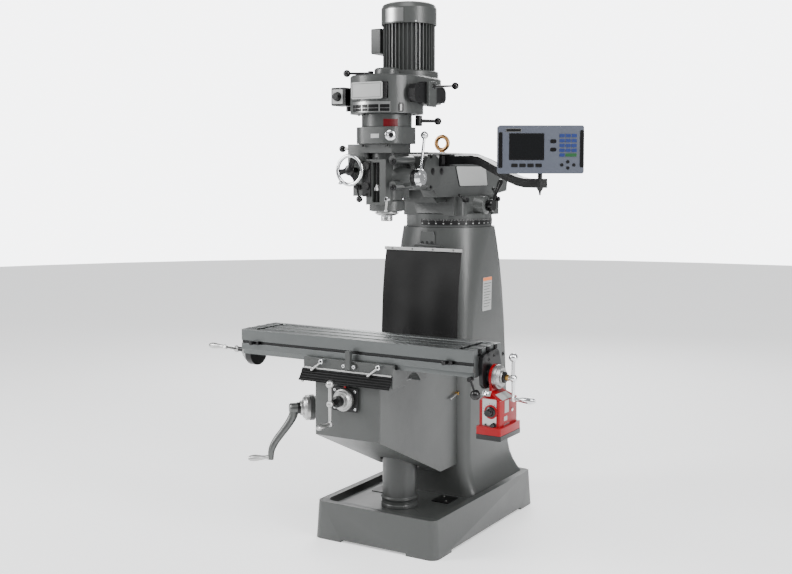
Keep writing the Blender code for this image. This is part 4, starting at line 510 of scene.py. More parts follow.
def ball_crank(at, outward, up, throw, top_ball, hub_ball, rod, grip_length, grip_radius):
    """Bar with a ball at its head and its middle, and a grip at its foot that points outwards."""
    bar = [(0.007, -throw - 0.009), (0.0095, -throw - 0.006), (0.0095, -throw + 0.006),
          (rod * 0.8, -throw + 0.011),
           (rod, -hub_ball * 0.9)] + ball_outline(hub_ball, 0, -62, 62, 14)
    bar += [(rod, hub_ball * 0.9), (rod * 0.9, throw - top_ball * 0.88)] + ball_outline(top_ball, throw, -62,
          88, 16)
    grip = set_at(lathe(grip_outline(grip_length, grip_radius, 0.0052), 36), (0, 0, 0))
    foot = np.array(at) - np.array(up) * throw + np.array(outward) * 0.004
    return (set_at(lathe(bar, 40), at, up, outward), set_at(grip, foot, outward, up),
            set_at(lathe([(0.0095, -hub_ball - 0.006), (0.0095, 0)], 32), at, outward, up))


SCREW_AT = (-0.6855, 0.764)
DIAL_RIGHT, DIAL_LEFT, CROSS_FACE = 0.5714, -0.5641, -0.8363
right_dial = dial_finish("right_dial_lines", (0, *SCREW_AT), (1, 2), 0.041)
build("right_dial", "table_screw", right_dial,
      set_at(dial_shell(0.045, 0.026, 0.024, 0.004), (DIAL_RIGHT, *SCREW_AT), (1, 0, 0)),
      stands_for=["right_crank"])
build("right_collar", "table_screw", black_oxide,
      set_at(lathe([(0.019, 0.028), (0.021, 0.03), (0.021, 0.037), (0.018, 0.039)], 40),
      (DIAL_RIGHT, *SCREW_AT),
             (1, 0, 0)))
build("right_nut", "table_screw", brass,
      set_at(lathe([(0.0105, 0.038), (0.012, 0.04), (0.012, 0.05), (0.0098, 0.052), (0.0098, 0.06)], 6),
             (DIAL_RIGHT, *SCREW_AT), (1, 0, 0)), angle=25)
build("right_ball_crank", "table_screw", chrome,
      *ball_crank((0.6394, *SCREW_AT), (1, 0, 0), UP, 0.0765, 0.0165, 0.0145, 0.007, 0.086, 0.0125))

left_dial = dial_finish("left_dial_lines", (0, *SCREW_AT), (1, 2), 0.043)
build("left_dial", "table_screw", left_dial,
      set_at(dial_shell(0.047, 0.03, 0.026, 0.008), (DIAL_LEFT, *SCREW_AT), (-1, 0, 0)),
      stands_for=["left_crank"])
build("left_nut", "table_screw", black_oxide,
      set_at(lathe([(0.016, 0.036), (0.018, 0.038), (0.018, 0.05), (0.0098, 0.052), (0.0098, 0.076)], 32),
             (DIAL_LEFT, *SCREW_AT), (-1, 0, 0)))
build("left_ball_crank", "table_screw", satin_metal,
      *ball_crank((-0.6521, *SCREW_AT), (-1, 0, 0), (0, 0.97, -0.242), 0.0765, 0.0165, 0.0145, 0.007, 0.086,
                  0.0125))

CROSS_Z = 0.6435
cross_lines = dial_finish("cross_dial_lines", (0, 0, CROSS_Z), (0, 2), 0.039)
build("cross_dial_rim", "cross_crank", cross_lines,
      set_at(dial_shell(0.043, 0.03, 0.028, 0.012), (0, CROSS_FACE, CROSS_Z), FRONT, UP),
      stands_for=["cross_dial"])
build("cross_nut", "cross_crank", black_oxide,
      set_at(lathe([(0.0205, 0.04), (0.022, 0.042), (0.022, 0.058), (0.02, 0.06), (0.012, 0.062),
      (0.012, 0.086)],
                   40), (0, CROSS_FACE, CROSS_Z), FRONT, UP))
build("cross_ball_crank", "cross_crank", satin_metal,
      *ball_crank((0, -0.9361, CROSS_Z), FRONT, UP, 0.0755, 0.0155, 0.0135, 0.0066, 0.082, 0.012),
      stands_for=["cross_crank"])

KNEE_SHAFT_AT = np.array((-0.268, -0.696, 0.557))
KNEE_SHAFT = np.array((-0.70711, -0.70711, 0))
build("knee_dial_rim", "knee_crank", satin_metal,
      set_at(dial_shell(0.051, 0.026, 0.03, 0.012), KNEE_SHAFT_AT, KNEE_SHAFT, UP), stands_for=["knee_dial"])


def swept(path, radii, sides=28, flat=1.0):
    """Round bar along a path of points in the plane x = 0: each ring is square to the path."""
    path, radii = np.array(path, float), np.array(radii, float)
    heading = np.gradient(path, axis=0)
    heading /= np.linalg.norm(heading, axis=1)[:, None]
    t = np.linspace(0, 2 * np.pi, sides, endpoint=False)
    sideways = np.stack([-heading[:, 1], heading[:, 0]], 1)
    y = path[:, 0, None] + radii[:, None] * np.sin(t) * sideways[:, 0, None]
    z = path[:, 1, None] + radii[:, None] * np.sin(t) * sideways[:, 1, None]
    x = radii[:, None] * np.cos(t) * flat
    return grid_shell(np.stack([x, y, z], -1))


def smooth_path(points, values, count=48):
    """Points along a soft curve through a few bends, worked out by Catmull-Rom blending, with their radii."""
    p = np.column_stack([points, values]).astype(float)
    p = np.vstack([2 * p[0] - p[1], p, 2 * p[-1] - p[-2]])
    s = np.linspace(0, len(p) - 3 - 1e-6, count)
    i, f = s.astype(int), (s % 1)[:, None]
    a, b, c, d = p[i], p[i + 1], p[i + 2], p[i + 3]
    q = 0.5 * (2 * b + (c - a) * f + (2 * a - 5 * b + 4 * c - d) * f ** 2 + (3 * b - a - 3 * c + d) * f ** 3)
    return q[:, :2], q[:, 2]


bends = [(0.0, 0.024), (0.028, 0.028), (0.06, 0.046), (0.092, 0.07), (0.122, 0.094), (0.148, 0.11),
         (0.172, 0.118), (0.205, 0.12)]
arm_path, arm_radii = smooth_path(bends, [0.019, 0.018, 0.0165, 0.0155, 0.015, 0.0145, 0.013, 0.011])
crank_at = KNEE_SHAFT_AT + KNEE_SHAFT * 0.0383
cast_aluminium = turned_finish("cast_aluminium", (0.13, 0.133, 0.13), 0.38, 0.0001)
build("knee_crank_arm", "knee_crank", cast_aluminium,
      set_at(swept(arm_path[::-1], arm_radii[::-1]), crank_at, KNEE_SHAFT, (0, 0, -1)),
      set_at(lathe([(0.02, 0), (0.0215, 0.001), (0.0215, 0.038), (0.017, 0.044)], 40), crank_at, KNEE_SHAFT),
      stands_for=["knee_crank"])
build("knee_crank_grip", "knee_crank", satin_metal,
      set_at(lathe(grip_outline(0.092, 0.0135, 0.0062), 36),
             crank_at + KNEE_SHAFT * 0.122 + np.array((0, 0, -0.195)), KNEE_SHAFT))

# ---------------------------------------------------------------- quill, spindle and down feed
# The quill is hard chromed, and the spindle's nose below it is ground. The stop nut runs on a blacked screw.

SPINDLE_Y = -0.528
QUILL_LOW, NOSE_LOW, QUILL_HIGH = 1.3401, 1.3171, 1.5931
build("quill_tube", "quill", satin_metal,
      set_at(lathe([(0.034, QUILL_LOW), (0.036, QUILL_LOW + 0.001), (0.049, QUILL_LOW + 0.009),
                    (0.05, QUILL_LOW + 0.011), (0.05, 1.3515), (0.043, 1.3518), (0.043, QUILL_HIGH)], 72),
             (0, SPINDLE_Y, 0)), stands_for=["quill"])
build("spindle_nose", "spindle", chrome,
      set_at(lathe([(0.013, NOSE_LOW + 0.01), (0.0135, NOSE_LOW + 0.001), (0.0215, NOSE_LOW),
                    (0.0232, NOSE_LOW + 0.0012), (0.0232, NOSE_LOW + 0.012), (0.0222, NOSE_LOW + 0.013),
                    (0.0232, NOSE_LOW + 0.014), (0.0235, QUILL_LOW + 0.0005)], 60), (0, SPINDLE_Y, 0)),
                    slot="satin_metal")
dressed("spindle", satin_metal, 0.0, 1, 40)

STOP_AT = (0.007, -0.6105, 1.4511)
knurled = turned_finish("knurled", (0.55, 0.55, 0.545), 0.26)
across = knurled.axis("Y") - STOP_AT[1]
ridge = (across.math("ARCTAN2", across, knurled.axis("X") - STOP_AT[0]) * (36 / (2 * np.pi))).fraction()
knurled.relief((ridge - 0.5).absolute(), 0.0012)
build("stop_nut_knurled", "quill_stop_nut", knurled,
      set_at(lathe([(0.006, -0.01), (0.0125, -0.01), (0.0135, -0.009), (0.0135, 0.003), (0.0125, 0.004),
                    (0.008, 0.005), (0.008, 0.013), (0.006, 0.014)], 60), STOP_AT),
                    stands_for=["quill_stop_nut"])

HUB_AT = np.array((0.1283, SPINDLE_Y, 1.4931))
FEED_UP = np.array((0, 0.205, 0.979)) / np.linalg.norm((0.205, 0.979))
build("feed_disc", "feed_hub", chrome,
      set_at(lathe([(0.031, 0.018), (0.0345, 0.02), (0.0345, 0.033), (0.032, 0.036), (0.029, 0.041),
                    (0.013, 0.042), (0.012, 0.0405), (0.005, 0.0405)], 72), HUB_AT, (1, 0, 0), FEED_UP),
      set_at(lathe([(0.0064, 0.006), (0.0066, 0.03), (0.0052, 0.158)], 32), HUB_AT + np.array((0.026, 0, 0)),
             FEED_UP, (1, 0, 0)),
      set_at(lathe(ball_outline(0.0155, 0.172), 44), HUB_AT + np.array((0.026, 0, 0)), FEED_UP, (1, 0, 0)),
      stands_for=["feed_hub"])
build("feed_collar", "feed_hub", black_oxide,
      set_at(lathe([(0.03, 0.0004), (0.033, 0.002), (0.033, 0.014), (0.03, 0.018)], 60), HUB_AT, (1, 0, 0),
             FEED_UP))

KNOB_OUT = np.array((0.615661, -0.788011, 0))
build("back_gear_button", "back_gear_knob", chrome,
      set_at(lathe([(0.02, 0), (0.021, 0.001), (0.021, 0.004), (0.019, 0.006), (0.015, 0.0075),
                    (0.012, 0.008), (0.0105, 0.01), (0.0105, 0.022), (0.0095, 0.025)], 60),
             (0.07622, -0.62556, 1.6594), KNOB_OUT, UP), stands_for=["back_gear_knob"])
build("back_gear_ball", "back_gear_knob", black_plastic,
      set_at(lathe([(0.006, 0.0235), (0.0085, 0.025), (0.0085, 0.027)], 36), (0.07622, -0.62556, 1.6594),
      KNOB_OUT,
             UP))

# ---------------------------------------------------------------- fine-feed hand wheel
# Polished rim on three black spokes, with a small turned handle.

WHEEL_AT = np.array((-0.105, -0.6405, 1.5221))
WHEEL_RIM, RIM_THICK = 0.0575, 0.0075
u = np.linspace(0, 2 * np.pi, 97)[:-1]
v = np.linspace(0, 2 * np.pi, 25)[:-1]
rim_r = WHEEL_RIM + RIM_THICK * np.cos(v)[None, :]
rim = np.stack([rim_r * np.cos(u)[:, None], rim_r * np.sin(u)[:, None],
                RIM_THICK * np.sin(v)[None, :] + 0 * u[:, None]], -1)
rim = np.concatenate([rim, rim[:1]])
rim_points, rim_faces = grid_shell(rim, ends=False)
last = len(u) * len(v)
rim_faces = [[p - last if p >= last else p for p in face] for face in rim_faces]
build("wheel_rim", "hand_wheel", chrome,
      set_at((rim_points[:last], rim_faces), WHEEL_AT, FRONT, UP), stands_for=["hand_wheel"])


def slab(outline, low, high):
    """Flat piece: an outline of (x, y) points, carried from one height to another."""
    outline = np.array(outline, float)
    rows = [np.column_stack([outline, np.full(len(outline), h)]) for h in (low, high)]
    return grid_shell(np.stack(rows))


def panel(width, height, radius=0.0, steps=6, middle=(0, 0)):
    """Rectangle with round corners, counter-clockwise: a corner point plus an arc of the radius."""
    radius = max(radius, 1e-5)
    a = np.linspace(0, np.pi / 2, steps)
    corners = [(1, 1, 0), (-1, 1, 1), (-1, -1, 2), (1, -1, 3)]
    points = [np.column_stack([sx * (width / 2 - radius) + radius * np.cos(a + q * np.pi / 2),
                               sy * (height / 2 - radius) + radius * np.sin(a + q * np.pi / 2)])
              for sx, sy, q in corners]
    return np.concatenate(points) + np.array(middle)


spokes = []
for turn in np.radians((70, 190, 310)):
    out = np.array((np.cos(turn), 0, np.sin(turn)))
    spokes.append(set_at(slab([(-0.015, 0.006), (0.015, 0.006), (0.0105, 0.03), (0.013, 0.053),
          (-0.013, 0.053),
                               (-0.0105, 0.03)], -0.0035, 0.0035), WHEEL_AT, FRONT, out))
build("wheel_spokes", "hand_wheel", black_plastic, *spokes,
      set_at(lathe([(0.012, -0.042), (0.012, -0.01), (0.022, -0.006), (0.022, 0.006), (0.014, 0.01),
                    (0.01, 0.0105)], 48), WHEEL_AT, FRONT, UP), edge=0.0012)
build("wheel_handle", "hand_wheel", chrome,
      set_at(lathe([(0.005, 0.004), (0.005, 0.009), (0.0075, 0.013), (0.0088, 0.02), (0.0085, 0.026),
                    (0.006, 0.03), (0.002, 0.0308)], 32), WHEEL_AT + np.array((-0.03, 0, -0.049)), FRONT,
                    UP))

# ---------------------------------------------------------------- lifting eye
# A forged ring on a collar, zinc plated with a yellow tint, screwed into the top of the ram.

eye_low, eye_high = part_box("eyebolt")
EYE_THICK = 0.0088
EYE_RING = (eye_high.x - eye_low.x) / 2 - EYE_THICK
eye_at = (0, (eye_low.y + eye_high.y) / 2, eye_high.z - EYE_RING - EYE_THICK)
r = EYE_RING + EYE_THICK * np.cos(v)[None, :]
ring = np.stack([r * np.cos(u)[:, None], EYE_THICK * np.sin(-v)[None, :] + 0 * u[:, None],
                 r * np.sin(u)[:, None]], -1) + np.array(eye_at)
build("eye_ring", "ram", yellow_zinc, (ring.reshape(-1, 3), rim_faces),
      set_at(lathe([(0.0125, 0), (0.013, 0.001), (0.013, 0.004), (0.01, 0.006), (0.0085, 0.01)], 40),
             (0, eye_at[1], eye_low.z)), stands_for=["eyebolt"])

# ---------------------------------------------------------------- work table
# A long iron table, ground all over. The wheel leaves fine lines along the top, and the T-slots are dark.

GROUND = (0.118, 0.125, 0.124)
ground_steel = Finish("ground_steel", GROUND, 0.32, 0.85)
grinding = ground_steel.noise(120, 3, where=ground_steel.stretched((0.03, 1, 1)))
ground_steel.feed("Roughness", 0.24 + 0.16 * grinding + 0.1 * ground_steel.noise(5, 3))
ground_steel.feed("Base Color", ground_steel.mix(ground_steel.noise(2.4, 4), tuple(c * 0.8 for c in GROUND),
                                                 tuple(c * 1.15 for c in GROUND)))
ground_steel.relief(grinding, 0.00004)
dressed("table", ground_steel, 0.0012)

# ---------------------------------------------------------------- head fittings
# A pale sign on a black block, a black name plate and small labels around the belt housing, the bolts that
# hold the nod and tilt, the two plugs of the knuckle, and the screws of the caps. Signs are plain enamel
# with a thin dark border and carry no lettering.


def plate(at, along, up, width, height, thick, radius=0.001, sunk=0.0006, middle=(0, 0)):
    """Flat plate with round corners that stands proud of a face along a direction."""
    return set_at(slab(panel(width, height, radius, middle=middle), -sunk, thick), at, along, up)


def bent_plate(at, radius, thick, start, stop, low, high, steps=24):
    """Plate bent round a vertical drum: corners (R, z) carried from one angle to another, in degrees."""
    a = np.radians(np.linspace(start, stop, steps))[:, None]
    r = np.array((radius - 0.0006, radius + thick, radius + thick, radius - 0.0006))[None, :]
    z = np.array((high, high, low, low))[None, :] + 0 * a
    points, faces = grid_shell(np.stack([r * np.cos(a) + at[0], r * np.sin(a) + at[1], z], -1))
    return points, faces


def cap_screw(at, along, radius=0.0055, tall=0.005):
    """Socket screw: a round head with a hollow in its middle."""
    up = (0, 0, 1) if abs(along[2]) < 0.9 else (0, 1, 0)
    return set_at(lathe([(radius * 0.9, -0.001), (radius, 0), (radius, tall - 0.0007),
          (radius - 0.0007, tall),
                         (radius * 0.56, tall), (radius * 0.5, tall - radius * 0.5)], 20), at, along, up)


sign_white = paint_finish("sign_white", (0.3, 0.305, 0.3), 0.3, 0.00001)
sign_dark = paint_finish("sign_dark", (0.0025, 0.0025, 0.0027), 0.34, 0.00001, 0.0, 0.25)
label_silver = turned_finish("label_silver", (0.42, 0.425, 0.42), 0.26)
orange = paint_finish("orange_ink", (0.62, 0.14, 0.02), 0.4, 0.00001)

build("head_sign_block", "head", black_plastic,
      plate((0.0145, -0.662, 1.8335), FRONT, UP, 0.15, 0.066, 0.0115, 0.004), edge=0.001)
build("head_sign", "head", sign_white,
      plate((0.0, -0.6735, 1.8335), FRONT, UP, 0.142, 0.066, 0.0062, 0.007), edge=0.0008)
build("head_sign_border", "head", sign_dark,
      *[plate((0.0, -0.6797, 1.8335), FRONT, UP, width, height, 0.0003, 0.0002, middle=middle)
        for width, height, middle in ((0.13, 0.0012, (0, 0.0265)), (0.13, 0.0012, (0, -0.0265)),
                                      (0.0012, 0.052, (-0.0645, 0)), (0.0012, 0.052, (0.0645, 0)))])

DRUM_AT = (0, SPINDLE_Y)
build("speed_chart", "head", label_silver, bent_plate(DRUM_AT, 0.147, 0.0006, -125, -53, 1.75, 1.7905, 40))
chart_cells = [bent_plate(DRUM_AT, 0.147, 0.0009, start, stop, low, high, 12)
               for start, stop in ((-123.5, -117), (-116, -101), (-99.5, -89), (-88, -71), (-69, -54))
               for low, high in ((1.752, 1.764), (1.7655, 1.779))]
build("speed_chart_cells", "head", sign_dark, *chart_cells)
build("shift_slot", "head", sign_dark,
      bent_plate(DRUM_AT, 0.147, 0.0008, -40.0, -32.5, 1.749, 1.786, 8),
      bent_plate(DRUM_AT, 0.1462, 0.0008, -41.2, -31.3, 1.754, 1.781, 8))
build("shift_slot_inside", "head", sign_white,
      bent_plate(DRUM_AT, 0.147, 0.0013, -37.6, -35.0, 1.755, 1.78, 6))
label_red = paint_finish("label_red", (0.105, 0.0012, 0.0045), 0.36, 0.00001, 0.0, 0.2)
build("spindle_label", "head", label_red, bent_plate(DRUM_AT, 0.101, 0.0005, -66, -33, 1.695, 1.724, 16))
build("ring_screws", "head", black_oxide,
      *[cap_screw((0.112 * np.cos(t), SPINDLE_Y + 0.112 * np.sin(t), 1.7435), (0, 0, -1), 0.0045, 0.004)
        for t in np.radians((-150, -110, -15, 15))])
build("gear_box_label", "head", label_silver,
      plate((0.0095, -0.633, 1.6575), FRONT, UP, 0.038, 0.0165, 0.0006, 0.001))

build("feed_control", "head", black_oxide,
      plate((-0.0345, -0.622, 1.488), FRONT, UP, 0.037, 0.142, 0.006, 0.004),
      set_at(lathe([(0.0165, 0.004), (0.0165, 0.012), (0.015, 0.0135)], 36), (-0.0345, -0.622, 1.538), FRONT,
      UP),
      set_at(lathe([(0.015, 0.004), (0.015, 0.01), (0.0135, 0.0115)], 36), (-0.0345, -0.622, 1.46), FRONT,
      UP),
      *[cap_screw((-0.0345, -0.6275, z), FRONT, 0.005, 0.004) for z in (1.426, 1.499)], edge=0.0008)
build("quill_way", "head", black_oxide,
      plate((0.007, -0.622, 1.49), FRONT, UP, 0.017, 0.006, 0.006, 0.001, middle=(0, 0.08)))

PLUG_Z = 1.516
for place in (-0.357, -0.283):
    build(f"knuckle_plug_{round(-place * 1000)}", "ram", black_oxide,
          set_at(lathe([(0.015, -0.001), (0.015, 0.001), (0.0135, 0.0016), (0.01, 0.0016), (0.009, 0.0042),
                        (0.005, 0.005)], 36), (0.1172, place, PLUG_Z), (1, 0, 0), UP))
build("tilt_nuts", "head", black_oxide,
      *[set_at(lathe([(0.0125, -0.002), (0.0125, 0.0012), (0.0108, 0.002), (0.0108, 0.0105), (0.0095, 0.012),
                      (0.0055, 0.0125), (0.005, 0.019)], 30), (x, -0.608, z), FRONT, UP)
        for x in (-0.08, 0.08) for z in (1.558, 1.4555)])
build("nod_nuts", "ram_adapter", black_oxide,
      *[set_at(lathe([(0.0105, -0.002), (0.0105, 0.007), (0.009, 0.0085), (0.0055, 0.009), (0.005, 0.014)],
      30),
               (0.1085, -0.375, z), (1, 0, 0), UP) for z in (1.577, 1.4525)])
build("gear_box_screws", "head", black_oxide,
      *[cap_screw((x, -0.621, 1.6215), (0, 0, -1), 0.006, 0.006) for x in (-0.055, 0.055)])

# ---------------------------------------------------------------- motor
# Cast body with upright cooling fins between a round flange and a pressed fan cover. The terminal box is
# screwed to its left side, and the cover carries a plain silver label.

MOTOR_AT = (0, -0.353)
motor_low, motor_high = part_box("motor_body")
FIN_TIP, FIN_ROOT, FINS, FLANGE_RADIUS, FLANGE_THICK = 0.108, 0.096, 40, 0.122, 0.029
fin_turn = np.arange(FINS)[:, None] * 2 * np.pi / FINS + np.array((-0.028, -0.02, 0.02, 0.028))[None, :]
fin_reach = np.tile((FIN_ROOT, FIN_TIP, FIN_TIP, FIN_ROOT), (FINS, 1))
fin_outline = np.column_stack([(fin_reach * np.cos(fin_turn)).ravel(),
      (fin_reach * np.sin(fin_turn)).ravel()])
build("motor_fins", "head", grey_paint,
      set_at(slab(fin_outline, motor_low.z + FLANGE_THICK * 0.7, motor_high.z), (*MOTOR_AT, 0)),
      set_at(lathe([(FLANGE_RADIUS - 0.002, motor_low.z), (FLANGE_RADIUS, motor_low.z + 0.002),
                    (FLANGE_RADIUS, motor_low.z + FLANGE_THICK - 0.003), (FLANGE_RADIUS - 0.004,
                                                                          motor_low.z + FLANGE_THICK)], 96),
             (*MOTOR_AT, 0)), angle=30, stands_for=["motor_body"])
build("fan_label", "head", label_silver, bent_plate(MOTOR_AT, 0.115, 0.0006, -116, -71, 2.124, 2.178, 20))
build("fan_screws", "head", satin_metal,
      *[cap_screw((0.115 * np.cos(t), -0.353 + 0.115 * np.sin(t), 2.1235), (np.cos(t), np.sin(t), 0), 0.0035,
      0.002)
        for t in np.radians((-135, -45, 45, 135))])
build("terminal_screws", "head", black_oxide,
      *[cap_screw((-0.156, y, z), (-1, 0, 0), 0.004, 0.002) for y in (-0.393, -0.313) for z in (2.015,
      2.101)])

# ---------------------------------------------------------------- ram plaques and turret scale
# A plain pale sign on each flank of the ram, and a black degree band with white ticks around the turret.

PLAQUE = [(-0.125, 1.452), (0.15, 1.452), (0.131, 1.54), (-0.16, 1.54)]


def plaque_shell(side, shrink, thick):
    """The sign's slanted outline, carried out of the ram's flank, with an arc in each corner."""
    outline = np.array(PLAQUE, float)
    centre = outline.mean(0)
    outline = centre + (outline - centre) * shrink
    before, after = np.roll(outline, 1, 0), np.roll(outline, -1, 0)
    s = np.linspace(0, 1, 6)[None, :, None]
    start = outline + (before - outline) / np.linalg.norm(before - outline, axis=1)[:, None] * 0.009
    stop = outline + (after - outline) / np.linalg.norm(after - outline, axis=1)[:, None] * 0.009
    soft = (1 - s) ** 2 * start[:, None] + 2 * s * (1 - s) * outline[:, None] + s ** 2 * stop[:, None]
    points, faces = slab(soft.reshape(-1, 2), -0.0008, thick)
    points = np.column_stack([points[:, 2] * side + 0.115 * side, points[:, 0], points[:, 1]])
    return points, faces if side > 0 else [face[::-1] for face in faces]


for side, word in ((1, "right"), (-1, "left")):
    build("ram_sign_" + word, "ram", sign_dark, plaque_shell(side, 1.0, 0.0016))
    build("ram_sign_face_" + word, "ram", sign_white, plaque_shell(side, 0.955, 0.0026), edge=0.0005)

SCALE_RADIUS = 0.1895
build("turret_scale", "turret", sign_dark,
      bent_plate((0, 0), SCALE_RADIUS, 0.0009, -101, 35, 1.2865, 1.312, 72))
ticks = [bent_plate((0, 0), SCALE_RADIUS, 0.0013, turn - 0.16, turn + 0.16,
      1.312 - (0.01 if k % 5 == 0 else 0.006),
                    1.3115, 2) for k, turn in enumerate(np.arange(-99, 34, 2.0))]
figures = [bent_plate((0, 0), SCALE_RADIUS, 0.0013, turn - 1.0, turn + 1.0, 1.291, 1.296, 3)
           for turn in np.arange(-99, 34, 10.0)]
build("turret_ticks", "turret", sign_white, *ticks, *figures)

# ---------------------------------------------------------------- column, way cover and base
# The sheet of black rubber hangs from its bar in front of the column's slideway and bellies out a little. The
# bar is held by four screws, and the base has two small chip covers.

cover_low, cover_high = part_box("way_cover")
COVER_HALF, COVER_TOP, COVER_FOOT = cover_high.x - 0.0004, cover_high.z, cover_low.z
COVER_LENGTH = COVER_TOP - COVER_FOOT
COVER_SKIN = 0.0022


def cover_shell(rows=90, columns=72):
    """Sheet at y = back - belly(s) + ripple(x, s): the belly is 0.030 sin(0.72 pi s) + 0.012 s, and the
    ripple is two slow waves that grow downwards and vanish at the bar."""
    s = np.linspace(0, 1, rows)[:, None]
    x = np.linspace(-1, 1, columns)[None, :]
    belly = 0.03 * np.sin(0.72 * np.pi * s) + 0.012 * s
    ripple = (0.0035 * np.sin(2.6 * np.pi * x + 1.1) * s ** 0.8 + 0.0022 * np.sin(7.0 * s + 3.1 * x)
              + 0.0012 * np.sin(19 * s - 2.3 * x) * s) * np.clip(s * 6, 0, 1)
    y = cover_high.y - 0.004 - belly + ripple * np.cos(0.5 * np.pi * x * 0.6)
    y = np.maximum(y, cover_low.y - 0.004)
    z = COVER_TOP - COVER_LENGTH * s + 0 * x
    front = np.stack([x * COVER_HALF * (1 - 0.006 * np.sin(np.pi * s)) + 0 * s, y, z], -1)
    back = front + np.array((0, COVER_SKIN, 0))
    return grid_shell(np.concatenate([front, back[:, ::-1]], axis=1)[::-1])


way_rubber = paint_finish("way_rubber", (0.0026, 0.0026, 0.0027), 0.55, 0.0002, 0.0, 0.22)
way_sheet = build("way_cover_sheet", "base", way_rubber, cover_shell(), angle=50, stands_for=["way_cover"])
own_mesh(way_sheet)

bar_low, bar_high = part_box("way_cover_bar")
build("way_bar_screws", "base", black_oxide,
      *[cap_screw((x, bar_low.y, (bar_low.z + bar_high.z) / 2), FRONT, 0.004, 0.0016)
        for x in (-0.15, -0.05, 0.05, 0.15)])

build("way_cap", "base", grey_paint,
      set_at(slab([(-0.035, 1.207), (0.043, 1.207), (0.036, 1.262), (-0.028, 1.262)], 0, 0.007),
      (0, -0.199, 0),
             FRONT, UP),
      set_at(slab([(-0.066, 1.1945), (0.078, 1.1945), (0.066, 1.2035), (-0.054, 1.2035)], 0, 0.018),
             (0, -0.19, 0), FRONT, UP), edge=0.002)
build("way_cap_screws", "base", black_oxide,
      *[cap_screw((x, -0.2055, 1.212), FRONT, 0.006, 0.003) for x in (-0.02, 0.004, 0.028)])
LABEL_AT, LABEL_OUT = (0.1964, -0.013, 0.984), (1, 0, -0.022)
build("column_label", "base", sign_white,
      plate((0.1948, -0.013, 0.984), LABEL_OUT, UP, 0.084, 0.146, 0.0016, 0.003, 0.002))
build("column_label_stripe", "base", orange,
      plate(LABEL_AT, LABEL_OUT, UP, 0.082, 0.014, 0.0004, 0.0005, middle=(0, 0.065)))
build("column_label_lines", "base", sign_dark,
      *[plate(LABEL_AT, LABEL_OUT, UP, 0.07 - 0.01 * (k % 3), 0.0022, 0.0003, 0.0004,
              middle=(-0.003 * (k % 3), 0.046 - 0.0125 * k)) for k in range(9)])

for word, at, width, height in (("right", (0.1305, -0.2725, 0.128), 0.081, 0.095),
                                ("left", (-0.165, -0.283, 0.128), 0.078, 0.086)):
    build("tray_cover_" + word, "base", black_oxide,
          plate(at, UP, (0, 1, 0), width, height, 0.0035, 0.004), edge=0.0008)
build("tray_cover_screws", "base", satin_metal,
      *[cap_screw((x, y, 0.1315), UP, 0.005, 0.003) for x,
      y in ((0.112, -0.245), (0.15, -0.298), (-0.183, -0.256),
                                                                 (-0.147, -0.31))])

# ---------------------------------------------------------------- knee and saddle fittings
# A black plate carries the cross feed's bearing with a red pointer, and a ribbed rubber wiper covers the
# knee's slideways in front of the saddle, under a bright clamping strip.

build("cross_plate", "knee", black_oxide,
      plate((0, -0.833, 0.6435), FRONT, UP, 0.118, 0.093, 0.0028, 0.004), edge=0.0012)
build("cross_plate_screws", "knee", chrome,
      *[cap_screw((x, -0.8358, 0.6435 + z), FRONT, 0.0052, 0.0022) for x in (-0.047, 0.047) for z in (-0.034,
      0.034)])
build("cross_pointer", "knee", red_paint,
      plate((0.003, -0.8358, 0.6925), FRONT, UP, 0.008, 0.007, 0.0045, 0.001))
build("knee_dial_seat", "knee", black_oxide,
      set_at(lathe([(0.03, -0.004), (0.03, -0.0004)], 48), KNEE_SHAFT_AT, KNEE_SHAFT, UP))
build("knee_hub_collar", "knee_crank", black_oxide,
      set_at(lathe([(0.0225, 0.0375), (0.0235, 0.0385), (0.0235, 0.05), (0.0225, 0.051)], 44),
             KNEE_SHAFT_AT, KNEE_SHAFT, UP))

stop_low, stop_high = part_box("stop_bracket")
build("stop_bracket_screws", "saddle", chrome,
      *[cap_screw(((stop_low.x + stop_high.x) / 2 + x, stop_low.y + 0.008, stop_low.z + 0.0125), FRONT,
      0.007, 0.003)
        for x in (-0.0235, 0.0235)])

WIPER_LEFT, WIPER_RIGHT = -0.21, 0.207
WIPER_Y, WIPER_TOP = -0.8225, 0.747
WIPER_ROWS, WIPER_COLUMNS = 120, 24


def wiper_shell(thick=0.0022):
    """Ribbed apron: five rounded ribs run along it, and it leans forwards as it comes down."""
    s = np.linspace(0, 1, WIPER_ROWS)[:, None]
    x = np.linspace(WIPER_LEFT, WIPER_RIGHT, WIPER_COLUMNS)[None, :]
    rib = 0.0028 * np.abs(np.sin(5.2 * np.pi * s)) ** 0.6 * np.clip(s * 9, 0, 1)
    y = WIPER_Y - 0.0265 * s ** 1.4 - rib + 0 * x
    z = WIPER_TOP - 0.045 * s + 0 * x
    front = np.stack([x + 0 * s, y, z], -1)
    back = front + np.array((0, thick, 0))
    return grid_shell(np.concatenate([front, back[:, ::-1]], axis=1)[::-1])


wiper_points, wiper_faces = wiper_shell()
wiper = build("front_wiper", "saddle", rubber, (wiper_points, wiper_faces), angle=70)
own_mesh(wiper)
build("wiper_strip", "saddle", satin_metal,
      plate(((WIPER_LEFT + WIPER_RIGHT) / 2, -0.82, 0.749), FRONT, UP, WIPER_RIGHT - WIPER_LEFT - 0.012,
      0.006,
            0.0035, 0.001), edge=0.0005)
build("left_gib_screw", "saddle", satin_metal,
      set_at(lathe([(0.003, -0.01), (0.003, 0.02)], 20), (-0.206, -0.818, 0.718), (-0.3, 0, -0.95), FRONT),
      set_at(lathe(ball_outline(0.0068, 0.024), 28), (-0.206, -0.818, 0.718), (-0.3, 0, -0.95), FRONT))
